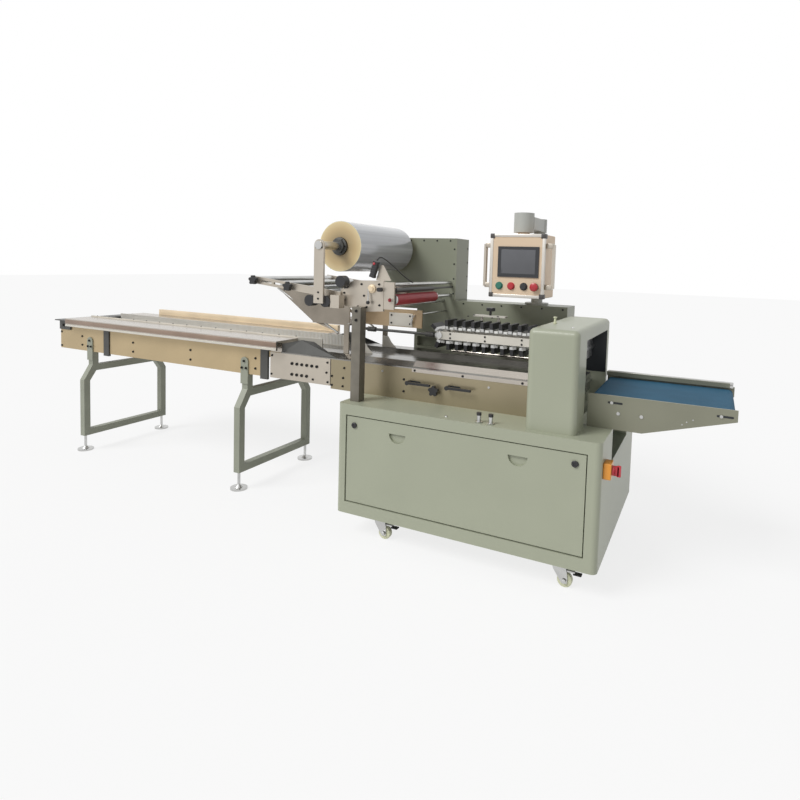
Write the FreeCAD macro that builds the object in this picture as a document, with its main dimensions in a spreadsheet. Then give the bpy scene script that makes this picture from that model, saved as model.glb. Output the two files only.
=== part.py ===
import FreeCAD, Part
import math
import os

import Sketcher

# Horizontal flow wrapper.
# Frame: +X runs with the product, -Y is the operator's side, +Z is up.
# The origin is on the floor, at the middle of the machine's length and depth.

Vector = FreeCAD.Vector
Rotation = FreeCAD.Rotation

doc = FreeCAD.newDocument("flow_wrapper")
sheet = doc.addObject("Spreadsheet::Sheet", "Sheet")

SIZES = [
    # machine cabinet
    ("cabinet_left", 376.0),
    ("cabinet_length", 1186.0),
    ("cabinet_depth", 942.0),
    ("cabinet_bottom", 113.0),
    ("ledge_height", 621.5),
    ("cabinet_edge_radius", 25.0),
    ("panel_left_margin", 46.0),
    ("panel_right_margin", 52.0),
    ("panel_bottom_margin", 54.0),
    ("panel_top_margin", 49.5),
    ("panel_thickness", 22.0),
    ("panel_gap", 5.0),
    ("panel_inset", 4.0),
    ("pull_radius", 41.0),
    ("pull_depth", 12.0),
    ("pull_height", 518.0),
    ("pull_left_inset", 312.0),
    ("pull_right_inset", 326.0),
    ("lock_radius", 10.0),
    ("lock_inset", 94.0),
    ("lock_height", 528.0),
    ("outlet_notch_depth", 150.0),
    ("outlet_notch_half_width", 225.0),
    ("outlet_notch_bottom", 480.0),
    # casters
    ("caster_left_inset", 198.0),
    ("caster_right_inset", 158.0),
    ("caster_front_inset", 78.0),
    ("caster_wheel_radius", 30.0),
    ("caster_wheel_width", 24.0),
    ("caster_trail", 26.0),
    ("caster_plate_side", 80.0),
    ("caster_plate_thickness", 5.0),
    ("caster_bearing_radius", 22.0),
    ("caster_fork_thickness", 3.0),
    ("caster_fork_top", 92.0),
    ("caster_side_gap", 2.0),
    ("caster_pin_radius", 6.0),
    ("pin_clearance", 0.3),
    # rear wall
    ("rear_wall_front", 299.0),
    ("rear_wall_top", 1412.0),
    ("rear_wall_left", 120.0),
    ("rear_wall_right", 612.0),
    ("rear_wall_overhang_height", 1010.0),
    ("low_wall_top", 1068.0),
    ("low_wall_right", 1236.0),
    ("sealer_box_left", 385.0),
    ("sealer_box_right", 700.0),
    ("sealer_box_depth", 44.0),
    ("sealer_box_top", 868.0),
    # deck
    ("deck_left", 177.0),
    ("deck_plate_face", 250.0),
    ("deck_plate_thickness", 8.0),
    ("deck_plate_height", 772.0),
    ("deck_bed_right", 1300.0),
    ("deck_bed_bottom", 740.0),
    ("deck_shoulder_height", 800.0),
    ("deck_shoulder_half_width", 205.0),
    ("tongue_half_width", 180.0),
    # infeed conveyor
    ("infeed_left", -2010.0),
    ("infeed_plate_top", 780.0),
    ("infeed_plate_bottom", 635.0),
    ("infeed_plate_thickness", 8.0),
    ("upright_width", 50.0),
    ("upright_1_left", -1570.0),
    ("upright_2_left", -281.0),
    ("upright_bottom", 621.0),
    ("upright_top", 808.0),
    ("upright_thickness", 14.0),
    ("splice_left", -217.0),
    ("splice_right", 172.0),
    ("splice_top", 772.0),
    ("plate_joint_gap", 3.0),
    ("table_height", 838.0),
    ("table_half_width", 290.0),
    ("table_lip_height", 50.0),
    ("table_thickness", 12.0),
    ("table_left", -1900.0),
    ("table_right", -145.0),
    ("trough_half_width", 105.0),
    ("trough_floor", 782.0),
    ("trough_floor_thickness", 8.0),
    ("guide_thickness", 8.0),
    ("guide_right", 20.0),
    ("guide_height", 846.0),
    ("rail_height", 38.0),
    ("rail_width", 24.0),
    ("rail_left", -1704.0),
    ("tail_top", 826.0),
    ("tail_roller_radius", 32.0),
    # leg frames
    ("leg_1_x", -1706.0),
    ("leg_2_x", -395.0),
    ("tube", 40.0),
    ("foot_half_spacing", 288.0),
    ("leg_bottom", 95.0),
    ("leg_bend_low", 457.0),
    ("leg_bend_high", 549.0),
    ("cross_bar_bottom", 510.0),
    ("leg_tab_top", 728.0),
    ("leg_tab_thickness", 6.0),
    ("leg_tab_width", 52.0),
    ("foot_disc_radius", 46.0),
    ("foot_disc_thickness", 10.0),
    ("foot_cone_height", 14.0),
    ("foot_stem_radius", 8.0),
    # square post and front side plate
    ("post_left", 406.0),
    ("post_side", 47.0),
    ("post_front", -416.0),
    ("post_top", 1061.0),
    ("side_plate_thickness", 12.0),
    ("side_plate_left", 309.0),
    ("side_plate_right", 544.0),
    ("side_plate_top", 1186.0),
    ("side_plate_bottom", 1045.0),
    ("side_plate_shoulder_x", 381.0),
    ("side_plate_shoulder_z", 1134.0),
    ("side_plate_low_left", 1067.0),
    ("roller_extension", 54.0),
    ("plate_knob_x", 344.0),
    ("plate_knob_z", 1175.0),
    ("plate_knob_radius", 27.0),
    ("small_knob_x", 531.0),
    ("small_knob_z", 1145.0),
    # film roll
    ("roll_axis_x", 232.0),
    ("roll_axis_z", 1341.0),
    ("roll_radius", 124.0),
    ("roll_front", -271.0),
    ("roll_back", 262.0),
    ("core_radius", 44.0),
    ("core_wall", 6.0),
    ("mandrel_radius", 20.0),
    ("chuck_radius", 37.7),
    ("chuck_length", 34.0),
    ("roll_arm_front", -441.0),
    ("roll_arm_thickness", 12.0),
    ("roll_arm_width", 54.0),
    ("roll_arm_bottom", 1068.0),
    ("rear_bearing_radius", 46.0),
    ("rear_bearing_depth", 26.0),
    ("rear_bearing_bore_depth", 20.0),
    ("clamp_knob_radius", 27.0),
    ("clamp_knob_length", 44.0),
    ("clamp_knob_1_x", 170.0),
    ("clamp_knob_2_x", 262.0),
    ("clamp_knob_z", 1078.0),
    # former arms and rollers
    ("former_arm_left", -239.0),
    ("former_arm_height", 36.0),
    ("former_arm_thickness", 12.0),
    ("former_arm_left_z", 1163.5),
    ("former_arm_right_z", 1106.0),
    ("former_arm_right", 315.0),
    ("guide_roller_radius", 17.0),
    ("guide_shaft_radius", 7.0),
    ("guide_roller_gap", 14.0),
    # feed roller group
    ("feed_roller_x", 582.0),
    ("feed_roller_z", 1099.0),
    ("feed_roller_radius", 26.0),
    ("feed_roller_front", -340.0),
    ("feed_roller_back", 85.0),
    ("feed_shaft_radius", 9.0),
    ("steel_roller_radius", 9.0),
    ("steel_roller_z", 1168.0),
    ("low_roller_x", 540.0),
    ("low_roller_z", 1065.0),
    # hold-down chain
    ("chain_left", 700.0),
    ("chain_right", 1180.0),
    ("chain_z", 921.0),
    ("chain_pitch_radius", 26.0),
    ("chain_thickness", 10.0),
    ("chain_width", 30.0),
    ("side_bar_offset", 80.0),
    ("bridge_left", 809.0),
    ("bridge_right", 978.0),
    ("bridge_z", 1010.0),
    ("rod_left", 250.0),
    ("rod_radius", 7.0),
    ("lever_1_x", 631.0),
    ("lever_2_x", 834.0),
    ("lever_z", 708.0),
    ("lever_length", 118.0),
    ("star_knob_x", 767.0),
    ("star_knob_z", 686.0),
    ("star_knob_radius", 25.0),
    ("side_bar_height", 38.0),
    ("side_bar_thickness", 10.0),
    ("flight_length", 118.0),
    ("flight_width", 20.0),
    ("flight_base_height", 12.0),
    ("flight_block_height", 30.0),
    ("flight_pitch", 46.0),
    # hood
    ("hood_left", 1249.0),
    ("hood_right", 1452.0),
    ("hood_front", -433.0),
    ("hood_back", 264.0),
    ("hood_top", 1030.0),
    ("hood_edge_radius", 24.0),
    ("tunnel_front", -281.0),
    ("tunnel_back", 219.0),
    ("tunnel_top", 978.0),
    ("jaw_x", 1372.0),
    # outfeed conveyor
    ("outfeed_left", 1459.0),
    ("outfeed_right", 2010.0),
    ("outfeed_face", 247.0),
    ("outfeed_plate_thickness", 8.0),
    ("outfeed_top", 760.0),
    ("outfeed_end_bottom", 716.0),
    ("outfeed_taper_start", 1675.0),
    ("belt_drum_radius", 17.0),
    ("belt_thickness", 3.0),
    ("belt_half_width", 225.0),
    ("belt_top", 750.0),
    ("outfeed_rail_height", 18.0),
    # control panel
    ("panel_box_left", 894.0),
    ("panel_box_right", 1168.0),
    ("panel_box_front", 70.0),
    ("panel_box_depth", 190.0),
    ("panel_box_bottom", 1118.0),
    ("panel_box_top", 1425.0),
    ("screen_width", 206.0),
    ("screen_height", 149.0),
    ("screen_bottom", 1216.0),
    ("screen_stand_out", 5.0),
    ("button_radius", 15.0),
    ("button_z", 1172.0),
    ("button_stand_out", 12.0),
    ("mushroom_radius", 20.0),
    ("handle_width", 22.0),
    ("handle_stand_off", 30.0),
    ("handle_height", 210.0),
    ("handle_thickness", 12.0),
    ("head_radius", 50.0),
    ("head_bottom_clearance", 0.5),
    ("head_top", 1534.0),
    ("panel_neck_radius", 30.0),
    ("panel_neck_height", 12.0),
    ("arm_side", 62.0),
    ("arm_centre_z", 1484.0),
    ("panel_post_x", 1052.0),
    ("panel_post_y", 379.0),
    ("panel_post_radius", 30.0),
    ("panel_flange_radius", 62.0),
    ("panel_flange_thickness", 11.0),
    # small fittings
    ("switch_y", -406.0),
    ("switch_z", 507.0),
    ("switch_base_side", 62.0),
    ("switch_base_thickness", 30.0),
    ("switch_knob_radius", 19.0),
    ("switch_knob_length", 24.0),
    ("switch_gap", 0.5),
    ("dial_1_x", 1056.0),
    ("dial_2_x", 1108.0),
    ("dial_y", -438.0),
    ("dial_radius", 9.0),
    ("dial_height", 30.0),
    ("seat_gap", 0.3),
]


class Size:
    """A length held both as a number and as the spreadsheet formula that gives it."""

    def __init__(self, value, formula):
        self.value = float(value)
        self.formula = formula

    @staticmethod
    def of(other):
        """Return other as a Size."""
        if isinstance(other, Size):
            return other
        return Size(other, repr(float(other)))

    def combined(self, other, sign, value):
        """Return the Size that joins self and other by an arithmetic sign."""
        return Size(value, f"({self.formula} {sign} {Size.of(other).formula})")

    def __add__(self, other):
        return self.combined(other, "+", self.value + Size.of(other).value)

    def __sub__(self, other):
        return self.combined(other, "-", self.value - Size.of(other).value)

    def __mul__(self, other):
        return self.combined(other, "*", self.value * Size.of(other).value)

    def __truediv__(self, other):
        return self.combined(other, "/", self.value / Size.of(other).value)

    def __radd__(self, other):
        return Size.of(other) + self

    def __rsub__(self, other):
        return Size.of(other) - self

    def __rmul__(self, other):
        return Size.of(other) * self

    def __neg__(self):
        return Size.of(0) - self


class Sizes:
    """The spreadsheet's named sizes, read as attributes."""


def fill_sheet():
    """Write every named size to the spreadsheet and return them as Size attributes."""
    sizes = Sizes()
    for row, (alias, value) in enumerate(SIZES, start=1):
        sheet.set(f"A{row}", alias)
        sheet.set(f"B{row}", str(value))
        sheet.setAlias(f"B{row}", alias)
        setattr(sizes, alias, Size(value, f"Sheet.{alias}"))
    doc.recompute()
    return sizes


d = fill_sheet()

AXIS_TURNS = {
    "X": Rotation(Vector(0, 1, 0), 90),
    "Y": Rotation(Vector(1, 0, 0), -90),
    "Z": Rotation(),
}


def bind(target, prop, size):
    """Bind one property of an object to the formula of a size."""
    size = Size.of(size)
    target.setExpression(prop, size.formula)


def place(target, x, y, z, turn=None):
    """Bind an object's position and set its rotation."""
    target.Placement = FreeCAD.Placement(Vector(0, 0, 0), turn or Rotation())
    for axis, size in zip("xyz", (x, y, z)):
        bind(target, f".Placement.Base.{axis}", size)


def box(name, x_range, y_range, z_range):
    """Make a Part::Box between the given pairs of limits."""
    made = doc.addObject("Part::Box", name)
    for prop, (low, high) in zip(("Length", "Width", "Height"), (x_range, y_range, z_range)):
        bind(made, prop, Size.of(high) - low)
    place(made, x_range[0], y_range[0], z_range[0])
    return made


def cylinder(name, axis, start, radius, length):
    """Make a Part::Cylinder that runs from start along +X, +Y or +Z."""
    made = doc.addObject("Part::Cylinder", name)
    bind(made, "Radius", radius)
    bind(made, "Height", length)
    place(made, *start, turn=AXIS_TURNS[axis])
    return made


def cone(name, start, low_radius, high_radius, height):
    """Make a Part::Cone that stands on start."""
    made = doc.addObject("Part::Cone", name)
    bind(made, "Radius1", low_radius)
    bind(made, "Radius2", high_radius)
    bind(made, "Height", height)
    place(made, *start)
    return made


def fuse(name, pieces):
    """Join pieces into one solid."""
    made = doc.addObject("Part::MultiFuse", name)
    made.Shapes = pieces
    return made


def group(name, pieces):
    """Keep pieces as separate solids of one node."""
    made = doc.addObject("Part::Compound", name)
    made.Links = pieces
    return made


def cut(name, base, tool):
    """Cut tool from base and check that it removed something."""
    made = doc.addObject("Part::Cut", name)
    made.Base = base
    made.Tool = tool
    doc.recompute()
    if made.Shape.Volume >= base.Shape.Volume - 1e-6:
        raise RuntimeError(f"{name}: the cut removed nothing")
    return made


def round_edges(name, base, radius, wanted):
    """Fillet the edges of base whose middle and direction the test wants."""
    doc.recompute()
    picked = []
    for number, edge in enumerate(base.Shape.Edges, start=1):
        middle = edge.valueAt((edge.FirstParameter + edge.LastParameter) / 2)
        if edge.Length > 1 and wanted(middle, edge.tangentAt(edge.FirstParameter)):
            picked.append((number, Size.of(radius).value, Size.of(radius).value))
    if not picked:
        raise RuntimeError(f"{name}: no edge to round")
    made = doc.addObject("Part::Fillet", name)
    made.Base = base
    made.Edges = picked
    doc.recompute()
    return made


def near(value, size):
    """Tell whether a coordinate lies on a size."""
    return abs(value - Size.of(size).value) < 0.01


PLANE_ROLES = {"XY": "XY_Plane", "XZ": "XZ_Plane", "YZ": "YZ_Plane"}


def origin_plane(body, plane):
    """Return the body's own origin plane with the given name."""
    for feature in body.Origin.OriginFeatures:
        if feature.Role == PLANE_ROLES[plane]:
            return feature
    raise RuntimeError(f"no plane {plane}")


def profile_body(name, plane, outlines, start, length):
    """Pad closed outlines, drawn in an origin plane, from start over length.

    The plane is XZ (outlines in X and Z, padded along +Y from start), YZ (in Y and Z, padded
    along +X) or XY (padded along +Z). Later outlines are holes. An outline point is (u, v).
    """
    body = doc.addObject("PartDesign::Body", name)
    sketch = body.newObject("Sketcher::SketchObject", f"{name}_outline")
    sketch.AttachmentSupport = (origin_plane(body, plane), [""])
    sketch.MapMode = "FlatFace"
    for outline in outlines:
        draw_outline(sketch, outline)
    pad = body.newObject("PartDesign::Pad", f"{name}_pad")
    pad.Profile = sketch
    bind(pad, "Length", length)
    pad.Reversed = plane == "XZ"
    body.Tip = pad
    shift = {"XZ": (0, start, 0), "YZ": (start, 0, 0), "XY": (0, 0, start)}[plane]
    place(body, *shift)
    return body


def draw_outline(sketch, outline):
    """Draw one closed outline in a sketch and bind each corner to its sizes."""
    points = [(Size.of(u), Size.of(v)) for u, v in outline]
    first = sketch.GeometryCount
    for index, (u, v) in enumerate(points):
        next_u, next_v = points[(index + 1) % len(points)]
        line = Part.LineSegment(Vector(u.value, v.value, 0), Vector(next_u.value, next_v.value, 0))
        sketch.addGeometry(line, False)
    for index in range(len(points)):
        following = first + (index + 1) % len(points)
        sketch.addConstraint(Sketcher.Constraint("Coincident", first + index, 2, following, 1))
    for index, (u, v) in enumerate(points):
        for kind, size in (("DistanceX", u), ("DistanceY", v)):
            made = sketch.addConstraint(Sketcher.Constraint(kind, -1, 1, first + index, 1, size.value))
            sketch.setExpression(f"Constraints[{made}]", size.formula)


def mirrored_outline(half):
    """Complete a left-hand outline, given from bottom to top, by its mirror about u = 0."""
    return half + [(-Size.of(u), v) for u, v in reversed(half)]


NODES = []


def node(made, label):
    """Register an object as a sub-part of the machine under its own label."""
    made.Label = label
    NODES.append(made)
    return made


# ---------------------------------------------------------------- cabinet

cabinet_right = d.cabinet_left + d.cabinet_length
cabinet_front = -d.cabinet_depth / 2
cabinet_back = d.cabinet_depth / 2
panel_face = cabinet_front + d.panel_inset


def make_cabinet():
    """The closed steel cabinet: rounded front corners, panel recess and outlet notch."""
    shell = box(
        "cabinet_block",
        (d.cabinet_left, cabinet_right),
        (cabinet_front, cabinet_back),
        (d.cabinet_bottom, d.ledge_height),
    )

    def upright_front_edge(middle, direction):
        return near(middle.y, cabinet_front) and abs(direction.z) > 0.9

    rounded = round_edges("cabinet_rounded", shell, d.cabinet_edge_radius, upright_front_edge)
    recess = box(
        "panel_recess",
        (d.cabinet_left + d.panel_left_margin, cabinet_right - d.panel_right_margin),
        (cabinet_front - 1, cabinet_front + d.panel_thickness),
        (d.cabinet_bottom + d.panel_bottom_margin, d.ledge_height - d.panel_top_margin),
    )
    notch = box(
        "outlet_notch",
        (cabinet_right - d.outlet_notch_depth, cabinet_right + 1),
        (-d.outlet_notch_half_width, d.outlet_notch_half_width),
        (d.outlet_notch_bottom, d.ledge_height + 1),
    )
    with_recess = cut("cabinet_with_recess", rounded, recess)
    node(cut("cabinet_cut", with_recess, notch), "cabinet")


def make_access_panel():
    """The lift-off front panel with two half-moon pulls, and its quarter-turn locks."""
    left = d.cabinet_left + d.panel_left_margin + d.panel_gap
    right = cabinet_right - d.panel_right_margin - d.panel_gap
    bottom = d.cabinet_bottom + d.panel_bottom_margin + d.panel_gap
    top = d.ledge_height - d.panel_top_margin - d.panel_gap
    body = profile_body(
        "panel_sheet",
        "XZ",
        [[(left, bottom), (right, bottom), (right, top), (left, top)]],
        panel_face,
        d.panel_thickness - d.panel_inset,
    )
    doc.recompute()
    pulls = []
    pull_left_x = d.cabinet_left + d.pull_left_inset
    pull_right_x = cabinet_right - d.pull_right_inset
    for side, x in (("left", pull_left_x), ("right", pull_right_x)):
        disc = cylinder(
            f"pull_disc_{side}", "Y", (x, panel_face - 1, d.pull_height), d.pull_radius, d.pull_depth + 1
        )
        lower_half = box(
            f"pull_half_{side}",
            (x - d.pull_radius - 1, x + d.pull_radius + 1),
            (panel_face - 1, panel_face + d.pull_depth),
            (d.pull_height - d.pull_radius - 1, d.pull_height),
        )
        half = doc.addObject("Part::Common", f"pull_{side}")
        half.Base = disc
        half.Tool = lower_half
        pulls.append(half)
    node(cut("access_panel_cut", body, fuse("pulls", pulls)), "access_panel")


def make_panel_locks():
    """Two black quarter-turn locks on the access panel."""
    locks = []
    for side, x in (("left", d.cabinet_left + d.lock_inset), ("right", cabinet_right - d.lock_inset)):
        start = (x, cabinet_front, d.lock_height)
        locks.append(cylinder(f"lock_{side}", "Y", start, d.lock_radius, d.panel_inset))
    return locks


# ---------------------------------------------------------------- casters

caster_left_x = d.cabinet_left + d.caster_left_inset
caster_right_x = cabinet_right - d.caster_right_inset
caster_front_y = cabinet_front + d.caster_front_inset
caster_back_y = cabinet_back - d.caster_front_inset
caster_plate_bottom = d.cabinet_bottom - d.caster_plate_thickness

CASTERS = [
    ("front_left", caster_left_x, caster_front_y),
    ("front_right", caster_right_x, caster_front_y),
    ("rear_left", caster_left_x, caster_back_y),
    ("rear_right", caster_right_x, caster_back_y),
]


def make_caster_plates():
    """Mounting plates under the cabinet, each with its swivel pin."""
    plates = []
    half = d.caster_plate_side / 2
    pin_bottom = d.caster_fork_top - d.caster_fork_thickness - 4
    for place_name, x, y in CASTERS:
        plate = box(
            f"plate_{place_name}",
            (x - half, x + half),
            (y - half, y + half),
            (caster_plate_bottom, d.cabinet_bottom),
        )
        pin = cylinder(
            f"pin_{place_name}",
            "Z",
            (x, y, pin_bottom),
            d.caster_pin_radius,
            caster_plate_bottom - pin_bottom,
        )
        plates.append(fuse(f"caster_plate_{place_name}", [plate, pin]))
    node(group("plate_set", plates), "caster_plates")


def make_caster_fork(place_name, x, y):
    """A swivelling fork: bearing ring, two cheeks that trail and a brake tab."""
    cheek_gap = d.caster_wheel_width / 2 + d.caster_side_gap
    wheel_x = x + d.caster_trail
    cheeks = []
    for side, y_near in (("a", y - cheek_gap - d.caster_fork_thickness), ("b", y + cheek_gap)):
        outline = [
            (wheel_x - 11, d.caster_wheel_radius - 11),
            (wheel_x + 11, d.caster_wheel_radius - 11),
            (wheel_x + 13, d.caster_wheel_radius + 12),
            (x + 30, d.caster_fork_top),
            (x - 26, d.caster_fork_top),
            (x - 20, d.caster_fork_top - 22),
        ]
        cheeks.append(
            profile_body(f"cheek_{side}_{place_name}", "XZ", [outline], y_near, d.caster_fork_thickness)
        )
    top = box(
        f"fork_top_{place_name}",
        (x - 26, x + 30),
        (y - cheek_gap - d.caster_fork_thickness, y + cheek_gap + d.caster_fork_thickness),
        (d.caster_fork_top - d.caster_fork_thickness, d.caster_fork_top),
    )
    ring = cylinder(
        f"bearing_{place_name}",
        "Z",
        (x, y, d.caster_fork_top - 1),
        d.caster_bearing_radius,
        caster_plate_bottom - d.caster_fork_top + 1 - 1,
    )
    axle = cylinder(
        f"axle_{place_name}",
        "Y",
        (wheel_x, y - cheek_gap - d.caster_fork_thickness - 3, d.caster_wheel_radius),
        4,
        (cheek_gap + d.caster_fork_thickness + 3) * 2,
    )
    brake = box(
        f"brake_{place_name}",
        (wheel_x + 4, wheel_x + 40),
        (y - d.caster_wheel_width / 2, y + d.caster_wheel_width / 2),
        (d.caster_wheel_radius * 2 + 6, d.caster_wheel_radius * 2 + 12),
    )
    brake_web = box(
        f"brake_web_{place_name}",
        (wheel_x - 18, wheel_x + 6),
        (y - cheek_gap - 1, y + cheek_gap + 1),
        (d.caster_wheel_radius * 2 + 6, d.caster_wheel_radius * 2 + 12),
    )
    joined = fuse(f"fork_{place_name}", cheeks + [top, ring, axle, brake, brake_web])
    bore = cylinder(
        f"fork_bore_{place_name}",
        "Z",
        (x, y, d.caster_fork_top - d.caster_fork_thickness - 1),
        d.caster_pin_radius + d.pin_clearance,
        40,
    )
    node(cut(f"fork_cut_{place_name}", joined, bore), f"caster_fork_{place_name}")


def make_caster_wheel(place_name, x, y):
    """A moulded wheel with rounded tread edges and a bore for its axle."""
    wheel_x = x + d.caster_trail
    start = (wheel_x, y - d.caster_wheel_width / 2, d.caster_wheel_radius)
    disc = cylinder(f"tread_{place_name}", "Y", start, d.caster_wheel_radius, d.caster_wheel_width)
    rounded = round_edges(f"tread_rounded_{place_name}", disc, 4, lambda middle, direction: True)
    bore_start = (wheel_x, y - d.caster_wheel_width / 2 - 1, d.caster_wheel_radius)
    bore = cylinder(f"wheel_bore_{place_name}", "Y", bore_start, 4.3, d.caster_wheel_width + 2)
    node(cut(f"wheel_{place_name}", rounded, bore), f"caster_wheel_{place_name}")


# ---------------------------------------------------------------- rear wall


def make_rear_wall():
    """The tall housing that carries the film roll, and the low one beside it."""
    tall = profile_body(
        "tall_housing",
        "XZ",
        [
            [
                (d.cabinet_left, d.ledge_height),
                (d.rear_wall_right, d.ledge_height),
                (d.rear_wall_right, d.rear_wall_top),
                (d.rear_wall_left, d.rear_wall_top),
                (d.rear_wall_left, d.rear_wall_overhang_height),
                (d.cabinet_left, d.rear_wall_overhang_height),
            ]
        ],
        d.rear_wall_front,
        cabinet_back - d.rear_wall_front,
    )
    bearing_bore = cylinder(
        "rear_bearing_bore",
        "Y",
        (d.roll_axis_x, d.rear_wall_front - d.rear_bearing_depth - 1, d.roll_axis_z),
        d.mandrel_radius + d.pin_clearance,
        d.rear_bearing_depth + 1 + d.rear_bearing_bore_depth,
    )
    flange = cylinder(
        "rear_bearing_flange",
        "Y",
        (d.roll_axis_x, d.rear_wall_front - d.rear_bearing_depth, d.roll_axis_z),
        d.rear_bearing_radius,
        d.rear_bearing_depth,
    )
    feed_bore = cylinder(
        "rear_feed_bore",
        "Y",
        (d.feed_roller_x, d.rear_wall_front - 1, d.feed_roller_z),
        d.feed_shaft_radius + d.pin_clearance,
        d.rear_bearing_bore_depth + 1,
    )
    with_flange = fuse("rear_wall_with_flange", [tall, flange])
    node(cut("rear_wall_bored", with_flange, fuse("rear_bores", [bearing_bore, feed_bore])), "rear_wall_upper")
    low = box(
        "low_wall_block",
        (d.rear_wall_right, d.low_wall_right),
        (d.rear_wall_front, cabinet_back),
        (d.ledge_height, d.low_wall_top),
    )
    node(group("low_wall_and_sealer", [low, make_sealer_box()]), "rear_wall_lower")


def make_sealer_box():
    """The low box in front of the rear wall that holds the long-seal heaters."""
    outer = box(
        "sealer_box_block",
        (d.sealer_box_left, d.sealer_box_right),
        (d.rear_wall_front - d.sealer_box_depth, d.rear_wall_front),
        (d.ledge_height, d.sealer_box_top),
    )
    mouth = box(
        "sealer_box_mouth",
        (d.sealer_box_left + 20, d.sealer_box_left + 20 + 150),
        (d.rear_wall_front - d.sealer_box_depth - 1, d.rear_wall_front - 12),
        (d.sealer_box_top - 62, d.sealer_box_top - 10),
    )
    return cut("sealer_box_cut", outer, mouth)


# ---------------------------------------------------------------- deck


def make_deck():
    """Champagne side plates and the stainless bed with its product channel."""
    plates = []
    for side, y_low in (("front", -d.deck_plate_face), ("back", d.deck_plate_face - d.deck_plate_thickness)):
        plates.append(
            box(
                f"deck_plate_{side}",
                (d.deck_left, d.hood_left - d.seat_gap),
                (y_low, y_low + d.deck_plate_thickness),
                (d.ledge_height, d.deck_plate_height),
            )
        )
    node(group("deck_plate_pair", plates), "deck_side_plates")
    inner = d.deck_plate_face - d.deck_plate_thickness
    channel = d.trough_half_width + d.guide_thickness
    bed_left = d.table_right + d.seat_gap
    half = [
        (-inner, d.deck_bed_bottom),
        (-inner, d.deck_plate_height),
        (-d.deck_plate_face, d.deck_plate_height),
        (-d.deck_plate_face, d.deck_plate_height + 6),
        (-d.deck_shoulder_half_width, d.deck_shoulder_height),
        (-channel, d.deck_shoulder_height),
        (-channel, d.trough_floor),
    ]
    hood_stop = d.hood_left - d.seat_gap
    wide = profile_body("wide_bed", "YZ", [mirrored_outline(half)], bed_left, hood_stop - bed_left)
    inner_half = [
        (-d.tongue_half_width, d.deck_bed_bottom),
        (-d.tongue_half_width, d.deck_shoulder_height),
        (-channel, d.deck_shoulder_height),
        (-channel, d.trough_floor),
    ]
    tongue = profile_body(
        "bed_tongue", "YZ", [mirrored_outline(inner_half)], hood_stop, d.deck_bed_right - hood_stop
    )
    node(fuse("deck_bed_joined", [wide, tongue]), "deck_bed")


# ---------------------------------------------------------------- infeed conveyor

INFEED_SIDES = (("front", -1), ("back", 1))


def side_box(name, side, sign, x_range, inner, thickness, z_range):
    """Make a plate whose inner face stands at the given distance to one side of the middle."""
    y_range = (-(inner + thickness), -inner) if sign < 0 else (inner, inner + thickness)
    return box(f"{name}_{side}", x_range, y_range, z_range)


def make_infeed_plates():
    """Champagne side plates of the infeed, in an end section and a long one."""
    pieces = []
    inner = d.deck_plate_face - d.infeed_plate_thickness
    upright_1_right = d.upright_1_left + d.upright_width
    for side, sign in INFEED_SIDES:
        z_range = (d.infeed_plate_bottom, d.infeed_plate_top)
        pieces.append(
            side_box(
                "infeed_end_plate",
                side,
                sign,
                (d.infeed_left, d.upright_1_left - d.plate_joint_gap),
                inner,
                d.infeed_plate_thickness,
                z_range,
            )
        )
        pieces.append(
            side_box(
                "infeed_long_plate",
                side,
                sign,
                (upright_1_right + d.plate_joint_gap, d.upright_2_left - d.plate_joint_gap),
                inner,
                d.infeed_plate_thickness,
                z_range,
            )
        )
    node(group("infeed_plate_set", pieces), "infeed_side_plates")


def make_uprights():
    """Dark channel uprights where the infeed sections join."""
    pieces = []
    inner = d.deck_plate_face - d.infeed_plate_thickness
    for side, sign in INFEED_SIDES:
        for number, left in (("1", d.upright_1_left), ("2", d.upright_2_left)):
            pieces.append(
                side_box(
                    f"upright_{number}",
                    side,
                    sign,
                    (left, left + d.upright_width),
                    inner,
                    d.upright_thickness,
                    (d.upright_bottom, d.upright_top - 20),
                )
            )
    node(group("upright_set", pieces), "infeed_uprights")


def make_splice_plates():
    """Bright splice plates with two rows of slots, between infeed and deck."""
    pieces = []
    inner = d.deck_plate_face - d.infeed_plate_thickness
    for side, sign in INFEED_SIDES:
        plate = side_box(
            "splice_plate",
            side,
            sign,
            (d.splice_left, d.splice_right),
            inner,
            d.infeed_plate_thickness,
            (d.infeed_plate_bottom, d.splice_top),
        )
        y_start = sign * d.deck_plate_face if sign < 0 else inner
        slots = []
        for row, z, count in (("high", 724, 6), ("low", 667, 4)):
            for index in range(count):
                start = (d.splice_left + 146 + 32 * index, y_start - 1, z)
                slots.append(
                    cylinder(f"hole_{row}_{index}_{side}", "Y", start, 6.5, d.infeed_plate_thickness + 2)
                )
        pieces.append(cut(f"splice_cut_{side}", plate, fuse(f"splice_holes_{side}", slots)))
    node(group("splice_pair", pieces), "splice_plates")


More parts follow.
